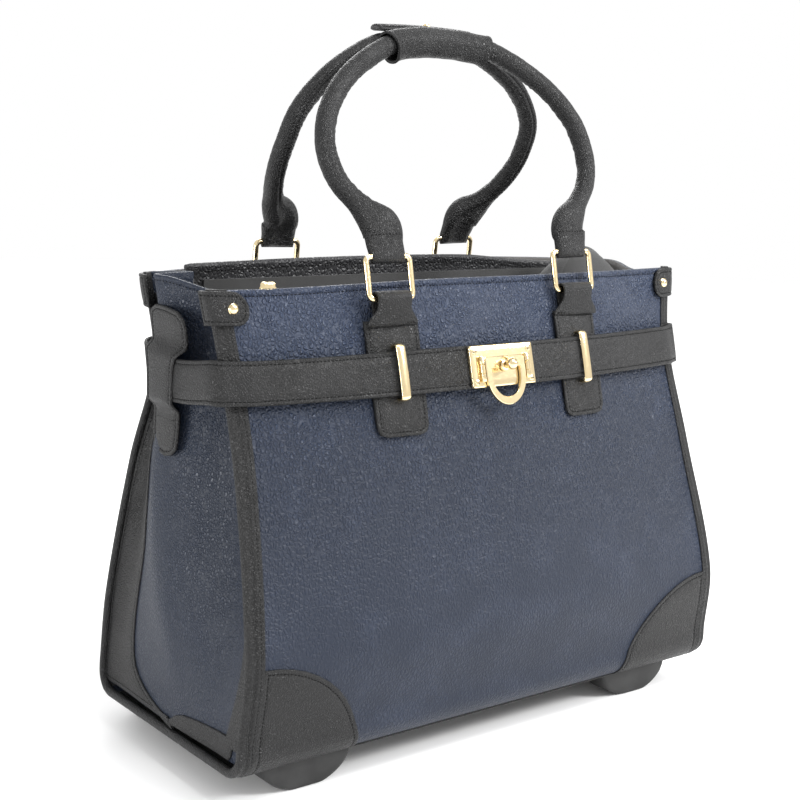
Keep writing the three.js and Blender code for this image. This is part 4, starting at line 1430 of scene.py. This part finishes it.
def inner_seams(name, wall, line, bar_z, piece):
    """Two seams beside the handle's inner edge, above its cuffs."""
    for side in (1, -1):
        angle = math.radians(-90 + side * SEAM_SPREAD)
        path, above = [], []
        for i, p in enumerate(line):
            if p.z > SEAM_FROM:
                spot = handle_surface(line, i, wall, bar_z, angle)
                path.append(spot)
                above.append(spot + (spot - p).normalized())
        sew_path(f"{name}_seam_{side + 1}", path, above, thread, False, piece, False)


def end_seams(name, wall, line, bar_z, piece):
    """A seam across both faces of both folded ends, above the ring."""
    for end in (0, 1):
        order = range(len(line)) if end == 0 else range(len(line) - 1, -1, -1)
        at_bar = next(i for i in order if line[i].z > bar_z + 13)
        for face, sign in (("out", 1), ("in", -1)):
            path, above = [], []
            for j in range(13):
                angle = math.radians(sign * mix(150, 30, j / 12))
                spot = handle_surface(line, at_bar, wall, bar_z, angle)
                path.append(spot)
                above.append(spot + Vector((0, wall.outward * sign, 0)))
            sew_path(f"{name}_end_stitches_{end}_{face}", path, above, thread, False, piece, False)


def handle(name, wall, route, grip_y, ring_y, lean, body):
    """Padded carry handle. Only the rear one's inner seams are sewn."""
    line = handle_line(route, grip_y, ring_y, lean)
    bar_z = high_bar(ring_y, lean).z
    angles = []
    for j in range(40):
        t = (j + 0.5) / 20 - 1
        angles.append(math.radians(-90 + 180 * math.copysign(abs(t) ** 1.4, t)))
    loops = [[handle_surface(line, i, wall, bar_z, angle) for angle in angles] for i in range(len(line))]
    piece = loft(name + "_leather", loops, black)
    if wall is REAR:
        inner_seams(name, wall, line, bar_z, piece)
    end_seams(name, wall, line, bar_z, piece)
    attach(piece, body)
    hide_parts(name)


handle("front_handle", FRONT, FRONT_ROUTE, FRONT_GRIP_Y, FRONT_RING_Y, FRONT_LEAN, "front_handle")
handle("rear_handle", REAR, REAR_ROUTE, REAR_GRIP_Y, REAR_RING_Y, REAR_LEAN, "rear_handle")

WRAP_LEFT = 50.0
WRAP_RIGHT = 41.0
FLAP_SAG = 1.925


def grip_wrap():
    """Loose sleeve sewn round the front handle, hanging low, with rounded open ends."""
    line = handle_line(FRONT_ROUTE, FRONT_GRIP_Y, FRONT_RING_Y, FRONT_LEAN)
    held = [i for i, p in enumerate(line) if -WRAP_LEFT <= p.x <= WRAP_RIGHT and p.z > GRIP_HEIGHT - 40]
    sides = 44

    def circle(i, radius):
        across, out = handle_frame(line, i, FRONT)
        loop = []
        for j in range(sides):
            angle = 2 * math.pi * j / sides
            soft = 0.35 * noise.noise(Vector((i * 0.12, 2.2 * math.cos(angle), 2.2 * math.sin(angle))))
            hang = 1.24 + 0.1 * (line[i].x / WRAP_LEFT) ** 2
            tall = hang if math.cos(angle) < 0 else 1.0
            spread = across * math.cos(angle) * tall + out * math.sin(angle)
            loop.append(line[i] + spread * (radius + soft))
        return loop

    first, last = held[0], held[-1]
    loops = []
    for k, i in enumerate(held):
        rim = min(k, len(held) - 1 - k) * 1.4
        loops.append(circle(i, 9.35 + 0.5 * hump(rim, 0, 4) - 0.35 * hump(rim, 3.4, 0.9)))
    loops.append(circle(last, 8.7))
    for k, i in enumerate(reversed(held)):
        rim = min(k, len(held) - 1 - k) * 1.4
        loops.append(circle(i, 7.75 + 0.4 * hump(rim, 0, 3)))
    loops.append(circle(first, 8.7))
    piece = loft("grip_wrap_leather", loops, black, closed=True)
    for end, i in (("right", first + 3), ("left", last - 3)):
        path = circle(i, 9.15)
        above = circle(i, 10.15)
        sew_path(f"grip_wrap_stitches_{end}", path, above, thread, True, piece, False)
    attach(piece, "front_handle")
    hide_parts("grip_wrap")


def wrap_flap():
    """Flap of the wrap over the rear handle, with a press stud."""
    radius = 9.8
    start = math.radians(140)
    length = math.radians(140 - 40) * (radius + 1)

    def skin(x, b, lift):
        angle = start - b / (radius + 1)
        curl = 1.6 * (b / length) ** 3 * step(-x, 10, 45)
        drop = FLAP_SAG * (x / WRAP_LEFT) ** 2
        reach = radius + lift + curl
        y = REAR_GRIP_Y + reach * math.cos(angle)
        return Vector((x, y, GRIP_HEIGHT - drop + reach * math.sin(angle)))

    outline = [(-46, 0.3), (38, 0.3), (38, length - 5), (36.5, length - 1.5), (33, length), (-41, length),
               (-44.5, length - 1.5), (-46, length - 5)]
    piece = applique("wrap_flap_leather", outline, skin, black, 1.8, 3.0, sew=thread, base=0.0,
                     fill=3.0, crown=0.1, warp=False)
    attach(piece, "wrap_flap")
    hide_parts("wrap_flap")
    stud_at = length * 0.55
    out = (skin(0, stud_at, 3) - skin(0, stud_at, 2)).normalized()
    rivet("wrap_flap_stud", skin(0, stud_at, 1.8), out, 2.6, "wrap_flap")


grip_wrap()
wrap_flap()


# ------------------------------------------------------------------ feet and wheels
FOOT_X = 155.0
FOOT_FRONT = 14.0
FOOT_DEPTH = 23.0
FOOT_HALF = 35.0
FOOT_TOP = 21.7
WHEEL_X = 178.0
WHEEL_RADIUS = 30.0


def foot(side, sign):
    """Moulded half-moon foot with a flat underside."""
    middle = sign * FOOT_X
    arch = FOOT_TOP + 1.8
    loops = []
    for share, trim in ((0, 3.2), (0.012, 1.7), (0.05, 0.6), (0.12, 0.0), (0.88, 0.0), (0.95, 0.6),
                        (0.988, 1.7), (1, 3.2)):
        y = FOOT_FRONT + FOOT_DEPTH * share
        reach = FOOT_HALF - trim
        loop = []
        for i in range(49):
            angle = math.radians(180 + 180 * i / 48)
            z = max(FOOT_TOP + (arch - trim) * math.sin(angle), 0.45 * trim)
            loop.append(Vector((middle + reach * math.cos(angle), y, z)))
        for i in range(1, 8):
            loop.append(Vector((middle + reach * (1 - i / 4), y, FOOT_TOP + 0.2)))
        loops.append(loop)
    piece = loft(f"front_foot_{side}_moulded", loops, plastic, sharp=60)
    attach(piece, "bag")
    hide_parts(f"front_foot_{side}")


def wheel(side, sign):
    """Tyre with a grooved tread, and a hub with a recessed web."""
    centre = Vector((sign * WHEEL_X, AXLE_Y, WHEEL_RADIUS))
    tread = [(-9.3, 23.2), (-9.9, 24.5), (-9.9, 27), (-9.2, 28.8), (-7, 29.8), (-2.4, 30), (-1.7, 29.1),
             (1.7, 29.1), (2.4, 30), (7, 29.8), (9.2, 28.8), (9.9, 27), (9.9, 24.5), (9.3, 23.2)]
    tyre = lathe(f"tyre_{side}_moulded", tread, centre, (1, 0, 0), rubber, 72, 50, True)
    half_hub = [(8.6, 3.4), (9.6, 3.8), (9.6, 8.0), (8.2, 8.8), (5.6, 9.6), (5.2, 17.8), (7.6, 20.2),
                (9.0, 20.8), (9.2, 22.6)]
    profile = [(-a, r) for a, r in half_hub] + [(a, r) for a, r in reversed(half_hub)]
    hub = lathe(f"wheel_hub_{side}_moulded", profile, centre, (1, 0, 0), plastic, 60, 40, True)
    for piece, slot, node in ((tyre, "tyre_rubber", "tyre"), (hub, "plastic_black", "wheel_hub")):
        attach(piece, f"wheel_{side}")
        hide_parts(f"{node}_{side}")


for side, sign in SIDES:
    foot(side, sign)
    wheel(side, sign)


# ------------------------------------------------------------------ trolley handle
def rounded_bar(name, half, middle_y, depth, low, high, radius, material, arch=0.0):
    """A bar along x with rounded edges and ends."""
    loops = []
    places = [(-half, radius), (-half + 0.3 * radius, 0.35 * radius), (-half + radius, 0)]
    places += [(x, 0) for x in np.linspace(-half + 2 * radius, half - 2 * radius, 25)]
    places += [(-x, trim) for x, trim in reversed(places[:3])]
    for x, trim in places:
        rise = arch * (1 - (x / half) ** 2)
        outline = rounded_rectangle(depth - 2 * trim, high - low - 2 * trim, radius, 6)
        loops.append([Vector((x, middle_y + a, (low + high) / 2 + b + rise)) for a, b in outline])
    return loft(name, loops, material)


TROLLEY_Y = 152
GRIP_HALF = 75
GRIP_DEPTH = 16
GRIP_LOW = 314
GRIP_HIGH = 331.5


def trolley():
    grip = rounded_bar("trolley_grip_moulded", GRIP_HALF, TROLLEY_Y, GRIP_DEPTH, GRIP_LOW, GRIP_HIGH,
                       3.6, plastic_dark, 0.5)
    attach(grip, "trolley_upper")
    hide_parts("trolley_grip")
    low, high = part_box("release_button")
    button = rounded_bar("release_button_moulded", 20, TROLLEY_Y, 8, low.z / MM, high.z / MM, 1.3, plastic)
    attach(button, "release_button")
    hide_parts("release_button")


trolley()


# ------------------------------------------------------------------ inside
def standing_sheet(name, xs, top_of, low, middle_y, thick, bead, material, bulge=0.0):
    """An upright sheet across the bag with a rolled top edge."""
    loops = []
    for k, x in enumerate(xs):
        top = top_of(x)
        ends = min(k, len(xs) - 1 - k)
        t = thick / 2 * (0.4 if ends == 0 else 0.85 if ends == 1 else 1)
        centre = top - bead
        loop = []
        for i in range(40):
            z = mix(low, centre - 1.2 * bead, i / 40)
            soft = bulge * (0.6 + 0.4 * wave(x, 0, z, 34, 5.5)) * math.sin(math.pi * i / 40)
            loop.append(Vector((x, middle_y - t - soft + 0.5 * wave(x, 9, z, 60, 2.5), z)))
        for i in range(13):
            angle = math.radians(210 - 240 * i / 12)
            reach = bead * (1 if ends else 0.7)
            loop.append(Vector((x, middle_y + reach * math.cos(angle), centre + reach * math.sin(angle))))
        for i in range(12):
            z = mix(centre - 1.2 * bead, low, i / 11)
            loop.append(Vector((x, middle_y + t + bulge * 0.5 * math.sin(math.pi * i / 11), z)))
        loops.append(loop)
    piece = loft(name, loops, material)
    path = [Vector((x, middle_y - bead * 0.75 - 0.2, top_of(x) - 2.3 * bead)) for x in xs[2:-2]]
    above = [p + Vector((0, -1, 0)) for p in path]
    sew_path(name + "_stitches", path, above, thread, False, piece, False)
    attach(piece, "bag")
    return piece


def inside_parts():
    edge = smooth([(-190, 336.0), (-60, 338.4), (67, 337.4), (120, 333), (176, 329)])
    xs = [float(x) for x in np.linspace(-178, 178, 90)]
    # The facing's leather is lightened as painted light.
    facing = standing_sheet("rear_divider_facing", xs, edge, 29.5, 140.7, 2.0, 2.5, black_pebble_painted_light)
    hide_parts("rear_divider")
    xs = [float(x) for x in np.linspace(-170, 170, 60)]
    sleeve = standing_sheet("laptop_sleeve_padded", xs, lambda x: 280.0, 31.2, 115, 4.4, 2.6, lining, 0.8)
    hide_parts("laptop_sleeve")


ZIP_HEIGHT = 325.6


def zip_coil():
    path = [even_skin(FRONT, x, ZIP_HEIGHT, -PANEL - 1.9) for x in range(-174, 175, 6)]
    above = [p + Vector((0, 0, 1)) for p in path]
    coil = sew_path("zip_coil", path, above, nylon, False, None, True)
    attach(coil, "bag")


def zip_slider():
    """Slider body with a waist, and a pull tab that hangs from it."""
    low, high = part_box("zip_slider")
    x = (low.x + high.x) / 2 / MM
    y = (low.y + high.y) / 2 / MM + SHIFT
    loops = []
    for z, half in ((325.4, 4.6), (325.9, 5.4), (327.2, 5.8), (328.4, 4.9), (329.8, 5.0), (330.9, 4.4),
                    (331.4, 3.2)):
        outline = rounded_rectangle(2 * half, half * 0.85, 1.2)
        loops.append([Vector((x + a, y + b, z)) for a, b in outline])
    slider = loft("zip_slider_gold", loops, gold)
    stations = []
    for i in range(9):
        spot = Vector((x - 1, y + 3.0 + 0.12 * i, 329.5 - 2.2 * i))
        stations.append((spot, Vector((1, 0, 0)), Vector((0, 1, 0)), 2.6 if 1 < i < 8 else 1.9))
    pull = ribbon("zip_pull_gold", stations, gold, 1.3, groove=0)
    for piece in (slider, pull):
        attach(piece, "zip_slider")
    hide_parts("zip_slider")


def nylon_dome():
    """Slack nylon end of the zip closure, with a welt seam over its crown."""
    loops = []
    for i in range(41):
        u = i / 40
        rows = []
        for j in range(41):
            v = j / 40
            crown = (math.sin(math.pi * v) * math.sin(math.pi * min(0.1 + 0.8 * u, 1))) ** 0.65
            x, y = mix(125, 186, u), mix(66, 132, v)
            fold = 1.3 * wave(x, y, 0, 17, 8.2) * crown
            welt = 1.3 * hump(y, 88 + 8 * math.sin(2.4 * u), 1.3) * step(crown, 0.1, 0.4)
            rows.append(Vector((x, y, 302.5 + 42.5 * crown + fold + welt)))
        loops.append(rows + [p - Vector((0, 0, 1.5)) for p in reversed(rows)])
    piece = loft("zip_gusset_nylon", loops, nylon)
    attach(piece, "bag")
    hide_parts("zip_gusset")


inside_parts()
zip_coil()
zip_slider()
nylon_dome()


def base_piping():
    """Narrow black strip along the foot of the front and rear walls."""
    for name, wall in (("front", FRONT), ("rear", REAR)):
        def skin(x, s, lift, wall=wall):
            return wall_skin(wall, x, s, lift)

        outline = [(-206, UNDER + 0.5), (206, UNDER + 0.5), (206, UNDER + 8.5), (-206, UNDER + 8.5)]
        strip = applique(f"base_strip_{name}", outline, skin, black, 1.2, None, fill=3.0, crown=0.0)
        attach(strip, "bag")


base_piping()


# ------------------------------------------------------------------ carried-over parts
def dress(node, material):
    """Gives a part that is kept from the frame its material."""
    for slot in bpy.data.objects[node].material_slots:
        slot.material = material


for side in ("left", "right"):
    dress(f"wheel_housing_{side}", plastic_dark)
    dress(f"axle_{side}", aluminium)
    for level in ("outer", "lower", "middle", "upper"):
        dress(f"{level}_tube_{side}", aluminium)
dress("trolley_bezel", plastic)
dress("bottom_panel", black)
dress("base_board", board)
dress("zip_tape_rear", nylon)
dress("zip_tape_front", nylon)

# ------------------------------------------------------------------ stage
FOCAL_PX = 1455.87
FRAME_PX = 800
AZIMUTH, ELEVATION, ROLL = math.radians(37.875), math.radians(10.0), math.radians(1.812)
DISTANCE = 0.94294
TARGET = Vector((-0.09857, -SHIFT * MM, 0.25767))
SENSOR_WIDTH = 36
FLOOR_RADIUS = 4.0
FLOOR_SIDES = 72
LIT_POINT = (0, 0, 0.22)
LIGHTS = (  # name, place, size in metres, power in watts
    ("key", (1.3, -1.5, 1.35), (0.8, 0.5), 54),
    ("top", (0.2, -0.8, 1.9), (1.0, 0.8), 34),
    ("side", (-2.0, 0.2, 0.35), (0.6, 0.6), 24),
    ("rear", (0.9, 1.9, 1.4), (1.4, 1.0), 22),
)


def camera():
    data = bpy.data.cameras.new("camera")
    data.sensor_width = SENSOR_WIDTH
    data.lens = SENSOR_WIDTH * FOCAL_PX / FRAME_PX
    data.clip_start = 0.02
    obj = bpy.data.objects.new("camera", data)
    bpy.context.scene.collection.objects.link(obj)
    back = Vector((
        -math.sin(AZIMUTH) * math.cos(ELEVATION),
        -math.cos(AZIMUTH) * math.cos(ELEVATION),
        math.sin(ELEVATION),
    ))
    level = Vector((math.cos(AZIMUTH), -math.sin(AZIMUTH), 0))
    high = back.cross(level)
    right = level * math.cos(ROLL) + high * math.sin(ROLL)
    up = high * math.cos(ROLL) - level * math.sin(ROLL)
    turn = Matrix((right, up, back)).transposed().to_4x4()
    obj.matrix_world = Matrix.Translation(TARGET + back * DISTANCE) @ turn
    bpy.context.scene.camera = obj


def area_light(name, place, size, power):
    data = bpy.data.lights.new(name, "AREA")
    data.shape = "RECTANGLE"
    data.size, data.size_y = size
    data.energy = power
    obj = bpy.data.objects.new(name, data)
    bpy.context.scene.collection.objects.link(obj)
    obj.location = place
    obj.rotation_euler = (Vector(LIT_POINT) - Vector(place)).to_track_quat("-Z", "Y").to_euler()


def stage():
    scene = bpy.context.scene
    scene.view_settings.view_transform = "Standard"
    world = bpy.data.worlds.new("studio")
    scene.world = world
    world.use_nodes = True
    world.node_tree.nodes["Background"].inputs["Color"].default_value = (1, 1, 1, 1)
    world.node_tree.nodes["Background"].inputs["Strength"].default_value = 1.0
    points = [(0, 0, 0)]
    for i in range(FLOOR_SIDES):
        angle = math.radians(i * 360 / FLOOR_SIDES)
        points.append((FLOOR_RADIUS * math.cos(angle), FLOOR_RADIUS * math.sin(angle), 0))
    faces = [(0, 1 + i, 1 + (i + 1) % FLOOR_SIDES) for i in range(FLOOR_SIDES)]
    mesh = bpy.data.meshes.new("floor")
    mesh.from_pydata(points, [], faces)
    n = Nodes("floor_pale")
    soft = n.noise(n.place, 3.0, 2.0)
    n.link(n.blend(soft, (0.93, 0.93, 0.93, 1), (0.96, 0.96, 0.96, 1)), "Base Color")
    n.set(Roughness=0.9, Specular_IOR_Level=0.1)
    mesh.materials.append(n.material)
    floor = bpy.data.objects.new("floor", mesh)
    scene.collection.objects.link(floor)
    for light in LIGHTS:
        area_light(*light)


camera()
stage()
